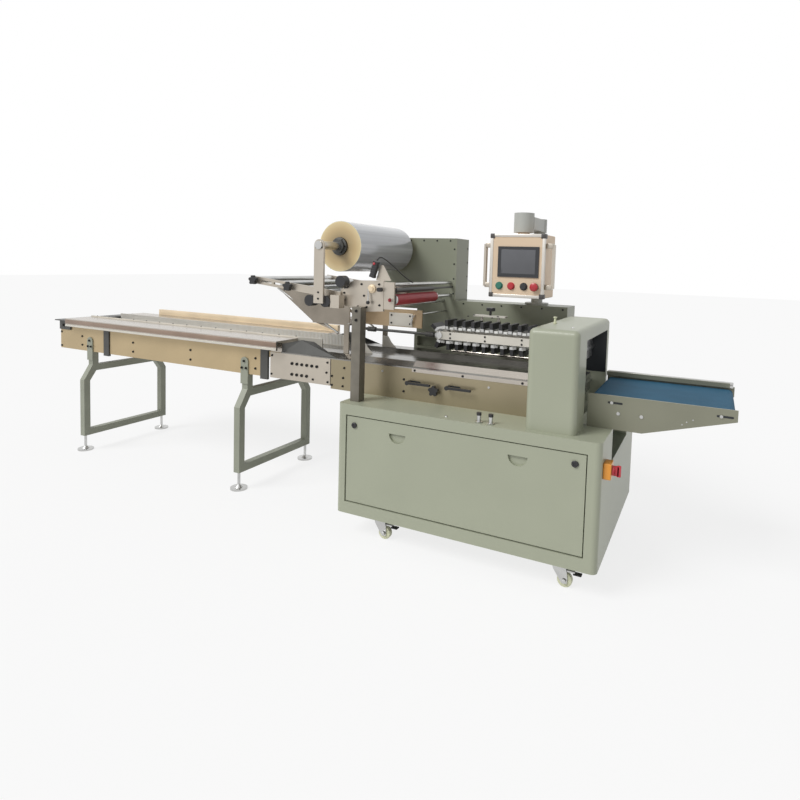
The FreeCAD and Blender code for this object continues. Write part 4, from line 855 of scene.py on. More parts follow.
@dataclass
class ScrewRecipe:
    """Cap heads with a flat hexagon socket, one on each point of a mesh."""

    head_sides: int = 16
    socket_sides: int = 6
    top_share: float = 0.86
    socket_share: float = 0.5
    recipe: NodeRecipe = field(init=False)
    inputs: dict[str, str] = field(init=False)

    def __post_init__(self) -> None:
        """Lay out the tree: a head with a socket on every point, turned the way it faces."""
        made = NodeRecipe("screw_heads")
        self.recipe = made
        self.inputs = {
            "Turn": made.socket("Turn", "NodeSocketVector"),
            "Radius": made.socket("Radius", "NodeSocketFloat"),
            "Height": made.socket("Height", "NodeSocketFloat"),
            "Material": made.socket("Material", "NodeSocketMaterial"),
        }
        head = made.add("GeometryNodeMeshCone")
        head.inputs["Vertices"].default_value = self.head_sides
        radius = made.entry.outputs["Radius"]
        made.link(radius, head.inputs["Radius Bottom"])
        made.link(made.times(radius, self.top_share), head.inputs["Radius Top"])
        made.link(made.entry.outputs["Height"], head.inputs["Depth"])
        socket = made.add("GeometryNodeMeshCylinder")
        socket.inputs["Vertices"].default_value = self.socket_sides
        made.link(made.times(radius, self.socket_share), socket.inputs["Radius"])
        made.link(made.entry.outputs["Height"], socket.inputs["Depth"])
        rise = made.add("ShaderNodeCombineXYZ")
        made.link(made.entry.outputs["Height"], rise.inputs["Z"])
        lift = made.add("GeometryNodeTransform")
        made.link(socket.outputs["Mesh"], lift.inputs["Geometry"])
        made.link(rise.outputs["Vector"], lift.inputs["Translation"])
        hollow = made.add("GeometryNodeMeshBoolean", operation="DIFFERENCE")
        made.link(head.outputs["Mesh"], hollow.inputs["Mesh 1"])
        made.link(lift.outputs["Geometry"], hollow.inputs["Mesh 2"])
        spread = made.add("GeometryNodeInstanceOnPoints")
        made.link(made.entry.outputs["Geometry"], spread.inputs["Points"])
        made.link(hollow.outputs["Mesh"], spread.inputs["Instance"])
        made.link(made.entry.outputs["Turn"], spread.inputs["Rotation"])
        made.close(spread.outputs["Instances"])

    def heads(
        self, points: Iterable[Point], facing: Facing, radius: float, height: float, finish: Finish
    ) -> bpy.types.Mesh:
        """Return screw heads as one mesh.

        Args:
            points: The seats of the heads.
            facing: The way they point.
            radius: A head's radius.
            height: Its height.
            finish: Its finish.

        Returns:
            The mesh.
        """
        values = {
            self.inputs["Turn"]: facing.turn,
            self.inputs["Radius"]: radius,
            self.inputs["Height"]: height,
            self.inputs["Material"]: finish.build(),
        }
        mesh = run_recipe(self.recipe, points_mesh(points), values)
        smooth_by_angle(mesh, 30.0)
        return mesh


@dataclass
class BarRowRecipe:
    """A row of like bars along a line, such as ribs or teeth."""

    recipe: NodeRecipe = field(init=False)
    inputs: dict[str, str] = field(init=False)

    def __post_init__(self) -> None:
        """Lay out the tree: a line of points with a bar on each."""
        made = NodeRecipe("bar_row")
        self.recipe = made
        self.inputs = {
            "Count": made.socket("Count", "NodeSocketInt"),
            "Start": made.socket("Start", "NodeSocketVector"),
            "Step": made.socket("Step", "NodeSocketVector"),
            "Bar Size": made.socket("Bar Size", "NodeSocketVector"),
            "Material": made.socket("Material", "NodeSocketMaterial"),
        }
        line = made.add("GeometryNodeMeshLine", mode="OFFSET")
        made.link(made.entry.outputs["Count"], line.inputs["Count"])
        made.link(made.entry.outputs["Start"], line.inputs["Start Location"])
        made.link(made.entry.outputs["Step"], line.inputs["Offset"])
        bar = made.add("GeometryNodeMeshCube")
        made.link(made.entry.outputs["Bar Size"], bar.inputs["Size"])
        spread = made.add("GeometryNodeInstanceOnPoints")
        made.link(line.outputs["Mesh"], spread.inputs["Points"])
        made.link(bar.outputs["Mesh"], spread.inputs["Instance"])
        made.close(spread.outputs["Instances"])

    def bars(
        self, count: int, start: Point, step: Point, size: Point, finish: Finish
    ) -> bpy.types.Mesh:
        """Return the row as one mesh.

        Args:
            count: The number of bars.
            start: The first bar's middle.
            step: The step to the next bar.
            size: A bar's size along each axis.
            finish: Its finish.

        Returns:
            The mesh.
        """
        values = {
            self.inputs["Count"]: count,
            self.inputs["Start"]: start,
            self.inputs["Step"]: step,
            self.inputs["Bar Size"]: size,
            self.inputs["Material"]: finish.build(),
        }
        return run_recipe(self.recipe, points_mesh([(0, 0, 0)]), values)


SCREWS = ScrewRecipe()
BARS = BarRowRecipe()


def dress(node: str, finish: Paint) -> None:
    """Give a node of the frame its finish.

    Args:
        node: The node's name.
        finish: The finish.
    """
    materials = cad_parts[node].data.materials
    materials.clear()
    materials.append(finish.build())
    log.info("node %s: %s", node, finish.name)


def screw_set(
    name: str, points: Iterable[Point], facing: Facing = Facing.FRONT, radius: float = 6.0,
    height: float = 4.0, finish: Finish = SCREW_BLACK, body: str = MACHINE,
) -> bpy.types.Object:
    """Add a set of screw heads as one piece, with all lengths in millimetres.

    Args:
        name: The piece's name.
        points: The seats of the heads.
        facing: The way they point.
        radius: A head's radius.
        height: Its height.
        finish: Its finish.
        body: The body that it rides on.

    Returns:
        The piece.
    """
    mesh = SCREWS.heads(rows(*points), facing, radius * MM, height * MM, finish)
    return finished_piece(name, mesh, [finish], body)


def face_screws(
    name: str, spots: Iterable[Pair], y: float, radius: float = 6.0, height: float = 4.0,
    finish: Finish = SCREW_BLACK, facing: Facing = Facing.FRONT,
) -> None:
    """Add screw heads on an upright face across the machine.

    Args:
        name: The piece's name.
        spots: The seats' places along the machine and upwards.
        y: The face's place across the machine.
        radius: A head's radius.
        height: Its height.
        finish: Its finish.
        facing: The way the face looks.
    """
    screw_set(name, [(x, y, z) for x, z in spots], facing, radius, height, finish)


def two_sided_screws(
    name: str, spots: Sequence[Pair], plate: "Corners", radius: float = 6.0, height: float = 4.0,
    finish: Finish = SCREW_BLACK,
) -> None:
    """Add screw heads on the near face of a part and their like on its far face.

    Args:
        name: The near piece's name. The far one's ends in _far.
        spots: The seats' places along the machine and upwards.
        plate: The part's box.
        radius: A head's radius.
        height: Its height.
        finish: Its finish.
    """
    face_screws(name, spots, plate.front, radius, height, finish)
    face_screws(f"{name}_far", spots, plate.back, radius, height, finish, Facing.BACK)


def mm(*values: float) -> Point:
    """Return lengths given in millimetres as metres."""
    return tuple(value * MM for value in values)


@dataclass(frozen=True)
class Corners:
    """A node's box in millimetres."""

    left: float
    front: float
    bottom: float
    right: float
    back: float
    top: float

    @classmethod
    def of(cls, node: str) -> "Corners":
        """Read a node's box from the frame."""
        low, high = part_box(node)
        return cls(*(value / MM for value in (*low, *high)))


@dataclass
class Block:
    """A bevelled block between two corners in millimetres, with a material slot."""

    low: Point
    high: Point
    slot: int = 0
    bevel: float = 1.5
    turn: Matrix | None = None


def blocks_mesh(blocks: Sequence[Block]) -> bpy.types.Mesh:
    """Return a set of bevelled blocks as one mesh."""
    def fill(work: bmesh.types.BMesh) -> None:
        """Add each block."""
        for block in blocks:
            add_box(
                work, mm(*block.low), mm(*block.high), block.bevel * MM, block.turn, block.slot
            )

    return mesh_from(fill)


def block_piece(
    name: str, blocks: Sequence[Block], finishes: Sequence[Paint], body: str = MACHINE
) -> bpy.types.Object:
    """Add bevelled blocks as one piece."""
    return finished_piece(name, blocks_mesh(blocks), finishes, body)


@dataclass
class Turned:
    """A turned form: radius and distance pairs in millimetres from a start along a direction."""

    profile: Sequence[tuple[float, float]]
    start: Point
    facing: Facing
    slot: int = 0
    sides: int = 32


def turned_mesh(forms: Sequence[Turned], smooth: float = 35.0) -> bpy.types.Mesh:
    """Return a set of turned forms as one mesh."""
    def fill(work: bmesh.types.BMesh) -> None:
        """Add each form."""
        for form in forms:
            profile = [(radius * MM, along * MM) for radius, along in form.profile]
            add_lathe(work, profile, mm(*form.start), form.facing.vector, form.sides, form.slot)

    return mesh_from(fill, smooth)


def turned_piece(
    name: str, forms: Sequence[Turned], finishes: Sequence[Paint], body: str = MACHINE
) -> bpy.types.Object:
    """Add turned forms as one piece."""
    return finished_piece(name, turned_mesh(forms), finishes, body)


def rows(*points: Point) -> list[Point]:
    """Return points given in millimetres as metres."""
    return [mm(*point) for point in points]


def metres(outline: Iterable[Pair]) -> list[Pair]:
    """Return an outline given in millimetres in metres."""
    return [(x * MM, z * MM) for x, z in outline]


# ---------------------------------------------------------------------------- studio


@dataclass
class Studio:
    """The pale floor, the soft light and the camera."""

    camera_place: Point = (1.9018, -2.6742, 1.276)
    yaw: float = -25.65
    pitch: float = -3.78
    roll: float = 1.748
    lens: float = 26.298
    shift_x: float = -0.041
    shift_y: float = -0.1237
    sensor_width: float = 36.0
    floor_half: float = 30.0
    floor_grey: float = 0.86
    floor_glow: float = 0.8
    sky_strength: float = 0.40
    sun_strength: float = 2.05
    sun_angle: float = 28.0
    sun_way: Point = (0.42, 0.62, -0.72)

    def build(self) -> None:
        """Set the stage."""
        self.camera()
        self.floor()
        self.sky()
        self.sun()
        bpy.context.scene.view_settings.view_transform = "Standard"

    def camera(self) -> None:
        """Place the camera at the operator's right front."""
        yaw, pitch, roll = (math.radians(v) for v in (self.yaw, self.pitch, self.roll))
        ahead = Vector(
            (math.sin(yaw) * math.cos(pitch), math.cos(yaw) * math.cos(pitch), math.sin(pitch))
        )
        level = Vector((math.cos(yaw), -math.sin(yaw), 0.0))
        upright = level.cross(ahead)
        right = level * math.cos(roll) + upright * math.sin(roll)
        up = upright * math.cos(roll) - level * math.sin(roll)
        turn = Matrix((right, up, -ahead)).transposed().to_4x4()
        lens = bpy.data.cameras.new("view")
        lens.lens = self.lens
        lens.sensor_width = self.sensor_width
        lens.shift_x = self.shift_x
        lens.shift_y = self.shift_y
        holder = bpy.data.objects.new("view", lens)
        holder.matrix_world = Matrix.Translation(self.camera_place) @ turn
        bpy.context.scene.collection.objects.link(holder)
        bpy.context.scene.camera = holder

    def white_ray(self, nodes: Nodes) -> bpy.types.NodeSocket:
        """Return 1 for the rays that see the background: camera, glossy and transmission.

        Args:
            nodes: The node tree that it is laid out in.

        Returns:
            The socket.
        """
        path = nodes.add("ShaderNodeLightPath")
        total = path.outputs["Is Camera Ray"]
        for name in ("Is Glossy Ray", "Is Transmission Ray"):
            either = nodes.add("ShaderNodeMath", operation="MAXIMUM")
            nodes.link(total, either.inputs[0])
            nodes.link(path.outputs[name], either.inputs[1])
            total = either.outputs["Value"]
        return total

    def mixed(
        self, nodes: Nodes, share: bpy.types.NodeSocket, first: bpy.types.NodeSocket,
        second: bpy.types.NodeSocket, output: str,
    ) -> None:
        """Mix two shaders by a share and end the tree in its output.

        Args:
            nodes: The node tree.
            share: The second shader's share.
            first: The first shader.
            second: The second shader.
            output: The output node's type.
        """
        mix = nodes.add("ShaderNodeMixShader")
        nodes.link(share, mix.inputs["Fac"])
        nodes.link(first, mix.inputs[1])
        nodes.link(second, mix.inputs[2])
        nodes.link(mix.outputs["Shader"], nodes.add(output).inputs["Surface"])

    def floor(self) -> None:
        """Lay a pale floor that keeps a light shadow."""
        half = self.floor_half
        mesh = bpy.data.meshes.new("floor")
        mesh.from_pydata(
            [(-half, -half, 0), (half, -half, 0), (half, half, 0), (-half, half, 0)], [],
            [(0, 1, 2, 3)],
        )
        paint = bpy.data.materials.new("pale_floor")
        paint.use_nodes = True
        nodes = Nodes(paint.node_tree)
        nodes.tree.nodes.clear()
        matt = nodes.add("ShaderNodeBsdfDiffuse")
        matt.inputs["Color"].default_value = (*[self.floor_grey] * 3, 1.0)
        glow = nodes.add("ShaderNodeEmission")
        glow.inputs["Strength"].default_value = 1.0
        share = nodes.times(self.white_ray(nodes), self.floor_glow)
        self.mixed(
            nodes, share, matt.outputs["BSDF"], glow.outputs["Emission"],
            "ShaderNodeOutputMaterial",
        )
        mesh.materials.append(paint)
        floor = bpy.data.objects.new("floor", mesh)
        bpy.context.scene.collection.objects.link(floor)

    def sky(self) -> None:
        """Fill with soft even light and show white behind the machine."""
        world = bpy.data.worlds.new("even_light")
        bpy.context.scene.world = world
        world.use_nodes = True
        nodes = Nodes(world.node_tree)
        nodes.tree.nodes.clear()
        shades = []
        for strength in (self.sky_strength, 1.0):
            shade = nodes.add("ShaderNodeBackground")
            shade.inputs["Strength"].default_value = strength
            shade.inputs["Color"].default_value = (1.0, 1.0, 1.0, 1.0)
            shades.append(shade.outputs["Background"])
        self.mixed(nodes, self.white_ray(nodes), *shades, "ShaderNodeOutputWorld")

    def sun(self) -> None:
        """Add one wide soft lamp from the operator's left."""
        lamp = bpy.data.lights.new("key", "SUN")
        lamp.energy = self.sun_strength
        lamp.angle = math.radians(self.sun_angle)
        holder = bpy.data.objects.new("key", lamp)
        turn = Vector((0, 0, -1)).rotation_difference(Vector(self.sun_way))
        holder.rotation_euler = turn.to_euler()
        bpy.context.scene.collection.objects.link(holder)


# ---------------------------------------------------------------------------- the machine


NODE_FINISHES = {
    "cabinet": GREEN_PAINT, "access_panel": GREEN_PAINT, "rear_wall_upper": SHADED_WALL_PAINT,
    "rear_wall_lower": SHADED_WALL_PAINT, "end_seal_hood": GREEN_PAINT, "caster_plates": STEEL,
    "deck_side_plates": DECK_CHAMPAGNE, "deck_bed": DECK_STEEL, "infeed_side_plates": CHAMPAGNE,
    "infeed_uprights": DARK_METAL, "splice_plates": BRIGHT, "infeed_table": STAINLESS,
    "trough_guides": WHITE_METAL, "infeed_tail": DARK_METAL, "leg_frame_1": TUBE_PAINT,
    "leg_frame_2": TUBE_PAINT, "levelling_feet": STEEL, "square_post": GALVANISED,
    "front_side_plate": BRIGHT, "roll_arm": BRIGHT, "clamp_knobs": BLACK_PLASTIC,
    "roll_mandrel": STEEL, "former_arms": BRIGHT, "guide_rollers": STEEL,
    "feed_roller": RED_RUBBER, "forming_box": FORMER_STEEL, "throat_panel": GOLD_PANEL,
    "hold_down_frame": WHITE_METAL, "flight_chain": STEEL, "flight_blocks": BLACK_PLASTIC,
    "drive_rod": DARK_METAL, "hand_controls": BLACK_PLASTIC, "dial_stems": STEEL,
    "sealing_jaws": STEEL, "outfeed_frame": OUTFEED_PLATE, "outfeed_belt": BLUE_BELT,
    "control_box": BEIGE_FACE, "panel_screen": SCREEN_BLACK, "panel_arm": HEAD_GREY,
    "panel_post": HEAD_GREY, "switch_base": SWITCH_YELLOW, "switch_knob": SWITCH_RED,
    "film_sensor": BLACK_PLASTIC, "panel_buttons": BUTTON_RED, "panel_handles": BRIGHT,
    "film_roll": CARDBOARD,
}


def dress_nodes() -> None:
    """Give every node of the frame its finish."""
    for node, finish in NODE_FINISHES.items():
        dress(node, finish)
    for end in ("front", "rear"):
        for side in ("left", "right"):
            dress(f"caster_fork_{end}_{side}", STEEL)
            dress(f"caster_wheel_{end}_{side}", CREAM_PLASTIC)


@dataclass
class MachineCabinet:
    """The green cabinet: the faces of its door's locks and the screw on its ledge."""

    lock_height: float = 528.0
    lock_places: Pair = (91.0, 1087.0)
    lock_profile: Sequence[Pair] = (
        (0, 0), (13.0, 0), (13.0, 3.0), (11.0, 4.5), (6.0, 4.5), (5.0, 2.5), (0, 2.5),
    )
    screw_place: Pair = (526.0, 45.0)

    def build(self) -> None:
        """Add the cabinet's small fittings."""
        door = Corners.of("access_panel")
        ledge = Corners.of("cabinet")
        forms = []
        for inset in self.lock_places:
            start = (ledge.left + inset, door.front - 3.0, self.lock_height)
            forms.append(Turned(self.lock_profile, start, Facing.FRONT))
        turned_piece("door_lock_faces", forms, [BLACK_PLASTIC])
        along, inwards = self.screw_place
        seat = (ledge.left + along, ledge.front + inwards, ledge.top)
        screw_set("ledge_screw", [seat], Facing.UP, 7.0, 3.0, STEEL)


@dataclass
class Casters:
    """The swivelling casters: brake tabs and axle nuts that ride on each swivel."""

    ends: tuple[str, str] = ("front", "rear")
    sides: tuple[str, str] = ("left", "right")
    tab_reach: Pair = (-8.0, 26.0)
    tab_inset: float = 9.0
    tab_rise: Pair = (28.0, 34.0)
    nut: Sequence[Pair] = ((0, 0), (9, 0), (9, 4), (5, 6), (0, 6))
    nut_sides: int = 6

    def build(self) -> None:
        """Add a brake tab and the axle nuts to each caster."""
        for end in self.ends:
            for side in self.sides:
                self.brake(f"{end}_{side}")

    def brake(self, place: str) -> None:
        """Add one caster's brake tab and nuts.

        Args:
            place: The caster's place, such as front_left.
        """
        fork = Corners.of(f"caster_fork_{place}")
        wheel = Corners.of(f"caster_wheel_{place}")
        middle = (wheel.left + wheel.right) / 2
        height = (wheel.bottom + wheel.top) / 2
        body = f"caster_swivel_{place}"
        (start, end), (low, high) = self.tab_reach, self.tab_rise
        lever = Block(
            (fork.right + start, fork.front + self.tab_inset, height + low),
            (fork.right + end, fork.back - self.tab_inset, height + high), bevel=2.5,
        )
        block_piece(f"caster_brake_{place}", [lever], [BLACK_PLASTIC], body)
        nuts = []
        for y, facing in ((fork.front, Facing.FRONT), (fork.back, Facing.BACK)):
            nuts.append(Turned(self.nut, (middle, y, height), facing, 0, self.nut_sides))
        turned_piece(f"caster_nuts_{place}", nuts, [STEEL], body)


@dataclass
class RearWall:
    """The rear walls: rows of dark screws near their edges."""

    inset: float = 14.0
    step: float = 82.0
    low_step: float = 110.0
    face: float = 299.0
    side_heights: Sequence[float] = (1120.0, 1200.0, 1280.0, 1360.0)
    top_start: float = 40.0
    side_start: float = 60.0
    low_start: float = 24.0
    radius: float = 5.0
    height: float = 2.0

    def build(self) -> None:
        """Add the screws of both walls."""
        high = Corners.of("rear_wall_upper")
        low = Corners.of("rear_wall_lower")
        points = [(high.right, high.back - self.inset, z) for z in self.side_heights]
        screw_set("wall_side_screws", points, Facing.RIGHT, self.radius, self.height)
        first, second = high.right - self.top_start, high.top - self.side_start
        third = low.right - self.low_start
        top = [(first - i * self.step, high.top - self.inset) for i in range(6)]
        side = [(high.right - self.inset, second - i * self.step) for i in range(4)]
        low_top = [(third - i * self.low_step, low.top - self.inset) for i in range(6)]
        face_screws(
            "wall_face_screws", [*top, *side, *low_top], self.face, self.radius, self.height
        )


@dataclass
class Deck:
    """The deck: lever slots, side screws, the folded bright strips and the tooth strips."""

    slot_lefts: Pair = (622.0, 825.0)
    slot_length: float = 66.0
    slot_bottom: float = 698.0
    slot_top: float = 716.0
    slot_radius: float = 9.0
    dark_spots: Sequence[Pair] = (
        (258.0, 735.0), (252.0, 684.0), (250.0, 642.0), (184.0, 687.0), (184.0, 641.0),
        (598.0, 717.0), (598.0, 660.0),
    )
    bright_spots: Sequence[Pair] = ((1027.0, 730.0), (480.0, 745.0))
    strip_section: Sequence[Pair] = (
        (-252.0, 758.0), (-250.0, 758.0), (-249.0, 772.0), (-208.0, 803.0), (-210.0, 806.0),
        (-252.0, 774.0),
    )
    strip_start: float = 640.0
    strip_end: float = 1244.0
    tooth_count: int = 37
    tooth_start: float = 200.0
    tooth_step: float = 10.0
    tooth_y: float = 246.0
    tooth_z: float = 776.0
    tooth_size: Point = (5.5, 4.0, 8.0)
    strip_screws: Sequence[Pair] = ((655.0, 766.0), (900.0, 766.0), (1180.0, 766.0))

    def build(self) -> None:
        """Add the deck's fine pieces."""
        plate = Corners.of("deck_side_plates")
        self.slots(plate)
        self.screws(plate)
        self.strip(plate)

    def slots(self, plate: Corners) -> None:
        """Add the slots behind the clamping levers as flush black faces of painted shade.

        Args:
            plate: The side plates' box.
        """
        def fill(work: bmesh.types.BMesh) -> None:
            """Add each slot's black face of painted shade."""
            for left in self.slot_lefts:
                right = left + self.slot_length
                corners = [(left, self.slot_bottom), (right, self.slot_bottom),
                           (right, self.slot_top), (left, self.slot_top)]
                face = plate.front * MM
                add_outline_prism(
                    work, metres(rounded_outline(corners, self.slot_radius)), "XZ",
                    face - 0.0012, face,
                )

        finished_piece("lever_slots", mesh_from(fill), [SHADE_BLACK])

    def screws(self, plate: Corners) -> None:
        """Add the screws on the near plate and their like on the far one.

        Args:
            plate: The side plates' box.
        """
        two_sided_screws("deck_plate_screws", self.dark_spots, plate)
        face_screws("deck_bright_screws", self.bright_spots, plate.front, finish=STEEL)

    def strip(self, plate: Corners) -> None:
        """Add the folded bright strips along the bed, the tooth strips and their screws.

        Args:
            plate: The side plates' box.
        """
        def fill(work: bmesh.types.BMesh) -> None:
            """Add the strip's section along the bed on both sides."""
            for side in (1.0, -1.0):
                points = [(-side * y * MM, z * MM) for y, z in self.strip_section]
                add_outline_prism(work, points, "YZ", self.strip_start * MM, self.strip_end * MM)

        finished_piece("deck_edge_strips", mesh_from(fill), [STAINLESS])
        for name, y in (("near", -self.tooth_y), ("far", self.tooth_y)):
            teeth = BARS.bars(
                self.tooth_count, mm(self.tooth_start, y, self.tooth_z),
                mm(self.tooth_step, 0, 0), mm(*self.tooth_size), BLACK_PLASTIC,
            )
            finished_piece(f"deck_tooth_strip_{name}", teeth, [BLACK_PLASTIC])
        face_screws("edge_strip_screws", self.strip_screws, plate.front - 2.0, height=3.0)


@dataclass
class Infeed:
    """The infeed conveyor: bolts, edge strips, ribbed guides and the raised far rail."""

    rib_step: float = 10.0
    rib_size: Point = (3.0, 2.4, 60.0)
    rib_drop: float = 31.0
    guide_end: float = 10.0
    guide_wall: float = 9.0
    guide_screw_start: float = 60.0
    guide_screw_step: float = 120.0
    guide_screw_count: int = 15
    bolt_columns: Sequence[float] = (-1788.0, -1300.0, -810.0, -320.0)
    bolt_heights: Pair = (727.0, 671.0)
    end_bolts: Sequence[Pair] = ((-2000.0, 742.0), (-2000.0, 650.0))
    brown_edge: Pair = (806.0, 832.0)
    white_edge: Pair = (789.0, 800.0)
    rail_start: float = -1704.0
    rail_bottom: float = 838.2
    splice_spots: Sequence[Pair] = (
        (-205.0, 755.0), (-208.0, 655.0), (155.0, 752.0), (150.0, 700.0), (158.0, 652.0),
        (65.0, 655.0),
    )
    splice_rows: Sequence[tuple[float, int]] = ((724.0, 6), (667.0, 4))
    splice_start: float = 146.0
    splice_step: float = 32.0

    def build(self) -> None:
        """Add the infeed's fine pieces."""
        spots = [(x, z) for x in self.bolt_columns for z in self.bolt_heights]
        spots += self.end_bolts
        two_sided_screws("infeed_bolts", spots, Corners.of("infeed_side_plates"), 7.0)
        self.edges(Corners.of("infeed_table"))
        self.ribs(Corners.of("trough_guides"))
        self.splice(Corners.of("splice_plates"))

    def edges(self, table: Corners) -> None:
        """Add the strips under the table's lips, and the gold rail on the far side.

        Args:
            table: The table's box.
        """
        blocks = []
        for face, out in ((table.front, -2.0), (table.back, 2.0)):
            low, high = sorted((face, face + out))
            for slot, (bottom, top) in enumerate((self.brown_edge, self.white_edge)):
                blocks.append(
                    Block((table.left, low, bottom), (table.right, high, top), slot, 0.6)
                )
        block_piece("table_edge_strips", blocks, [BROWN_EDGE, WHITE_METAL])
        rail = Block(
            (self.rail_start, table.back - 25.0, self.rail_bottom),
            (table.right, table.back + 1.0, table.top + 1.0), 0, 2.0,
        )
        block_piece("far_rail_cover", [rail], [GOLD_RAIL])

    def ribs(self, guide: Corners) -> None:
        """Add the upright ribs on the inner faces of the trough guides.

        Args:
            guide: The guides' box.
        """
        count = int((guide.right - guide.left - 2 * self.guide_end) / self.rib_step)
        step, size = mm(self.rib_step, 0, 0), mm(*self.rib_size)
        near, far = guide.front + self.guide_wall, guide.back - self.guide_wall
        for name, y in (("near", near), ("far", far)):
            start = mm(guide.left + self.guide_end, y, guide.top - self.rib_drop)
            mesh = BARS.bars(count, start, step, size, WHITE_PLASTIC)
            finished_piece(f"guide_ribs_{name}", mesh, [WHITE_PLASTIC])
        first = guide.left + self.guide_screw_start
        screws = [
            (first + i * self.guide_screw_step, guide.front + 4.0, guide.top)
            for i in range(self.guide_screw_count)
        ]
        screw_set("guide_screws", screws, Facing.UP, 4.0, 3.0)

    def splice(self, plate: Corners) -> None:
        """Add the black heads over the splice plate's holes, and its other screws.

        Args:
            plate: The splice plates' box.
        """
        start = plate.left + self.splice_start
        heads = [
            (start + self.splice_step * i, z) for z, count in self.splice_rows
            for i in range(count)
        ]
        face_screws("splice_row_bolts", heads, plate.front, 8.5, 5.0)
        two_sided_screws("splice_screws", self.splice_spots, plate)


@dataclass
class LegFrames:
    """The tube legs: three bolts on each near tab."""

    face: float = -258.5
    offsets: Sequence[Pair] = ((0.0, 706.0), (-15.0, 668.0), (15.0, 668.0))

    def build(self) -> None:
        """Add the bolts."""
        spots = []
        for node in ("leg_frame_1", "leg_frame_2"):
            leg = Corners.of(node)
            middle = (leg.left + leg.right) / 2
            spots += [(middle + offset, z) for offset, z in self.offsets]
        face_screws("leg_tab_bolts", spots, self.face, 7.0, 5.0)


@dataclass
class FilmStation:
    """The film roll on its mandrel, with the arm that carries it."""

    core: float = 45.0
    sides: int = 96
    chuck_profile: Sequence[Pair] = ((21, 0), (43, 0), (44, 2), (44, 12), (34, 14))
    chuck_ends: Pair = (26, 22)
    chuck_screw_ring: float = 37.0
    chuck_screw_turn: float = 1.0472
    arm_spots: Sequence[Pair] = ((-16.0, 1330.0), (16.0, 1330.0), (0.0, 1120.0), (0.0, 1090.0))

    def build(self) -> None:
        """Add the wound film, its chuck rings and the arm's screws."""
        roll = Corners.of("film_roll")
        centre_x = (roll.left + roll.right) / 2
        centre_z = (roll.bottom + roll.top) / 2
        self.wound(roll, centre_x, centre_z)
        self.arm(centre_x)

    def wound(self, roll: Corners, x: float, z: float) -> None:
        """Add the roll as wound film with ringed ends round a cardboard core.

        Args:
            roll: The roll's box.
            x: The axis's place along the machine.
            z: The axis's height.
        """
        radius = (roll.right - roll.left) / 2
        length = roll.back - roll.front
        side = [(radius - 1.2, 0.0), (radius, 1.2), (radius, length * 0.5), (radius, length - 1.2),
                (radius - 1.2, length)]

        def fill(work: bmesh.types.BMesh) -> None:
            """Add the wound side, the two ringed ends and the core."""
            start = mm(x, roll.front, z)
            rings = []
            for distance, along in [(self.core, 0.0), *side, (self.core, length)]:
                circle = []
                for index in range(self.sides):
                    angle = math.tau * index / self.sides
                    circle.append(work.verts.new((
                        start[0] + distance * MM * math.cos(angle),
                        start[1] + along * MM,
                        start[2] + distance * MM * math.sin(angle),
                    )))
                rings.append(circle)
            count = len(rings)
            for number in range(count):
                slot = 1 if number in (0, count - 2) else (2 if number == count - 1 else 0)
                add_band(work, rings[number], rings[(number + 1) % count], slot)

        finishes = [FilmFinish(), RollEndFinish(centre_x=x * MM, centre_z=z * MM), CARDBOARD]
        piece = finished_piece("wound_film", mesh_from(fill), finishes, "film_roll_body")
        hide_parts("film_roll")
        self.chucks(roll, x, z)

    def chucks(self, roll: Corners, x: float, z: float) -> None:
        """Add the chuck rings at both ends of the roll, and the near one's screws.

        Args:
            roll: The roll's box.
            x: The axis's place along the machine.
            z: The axis's height.
        """
        ends = ((roll.front + 2.0, Facing.FRONT), (roll.back - 2.0, Facing.BACK))
        collars = []
        for (y, facing), end in zip(ends, self.chuck_ends):
            profile = [*self.chuck_profile, (34, end), (21, end)]
            collars.append(Turned(profile, (x, y, z), facing, 0, 40))
        turned_piece("roll_chucks", collars, [DARK_METAL], "film_roll_body")
        points = []
        for index in range(6):
            angle = index * self.chuck_screw_turn
            points.append((
                x + self.chuck_screw_ring * math.cos(angle), roll.front - 10.0,
                z + self.chuck_screw_ring * math.sin(angle),
            ))
        screw_set("chuck_screws", points, Facing.FRONT, 3.5, 3.0, body="film_roll_body")

    def arm(self, x: float) -> None:
        """Add the arm's screws.

        Args:
            x: The roll axis's place along the machine.
        """
        arm = Corners.of("roll_arm")
        spots = [(x + offset, z) for offset, z in self.arm_spots]
        face_screws("roll_arm_screws", spots, arm.front, 5.0, 3.0)


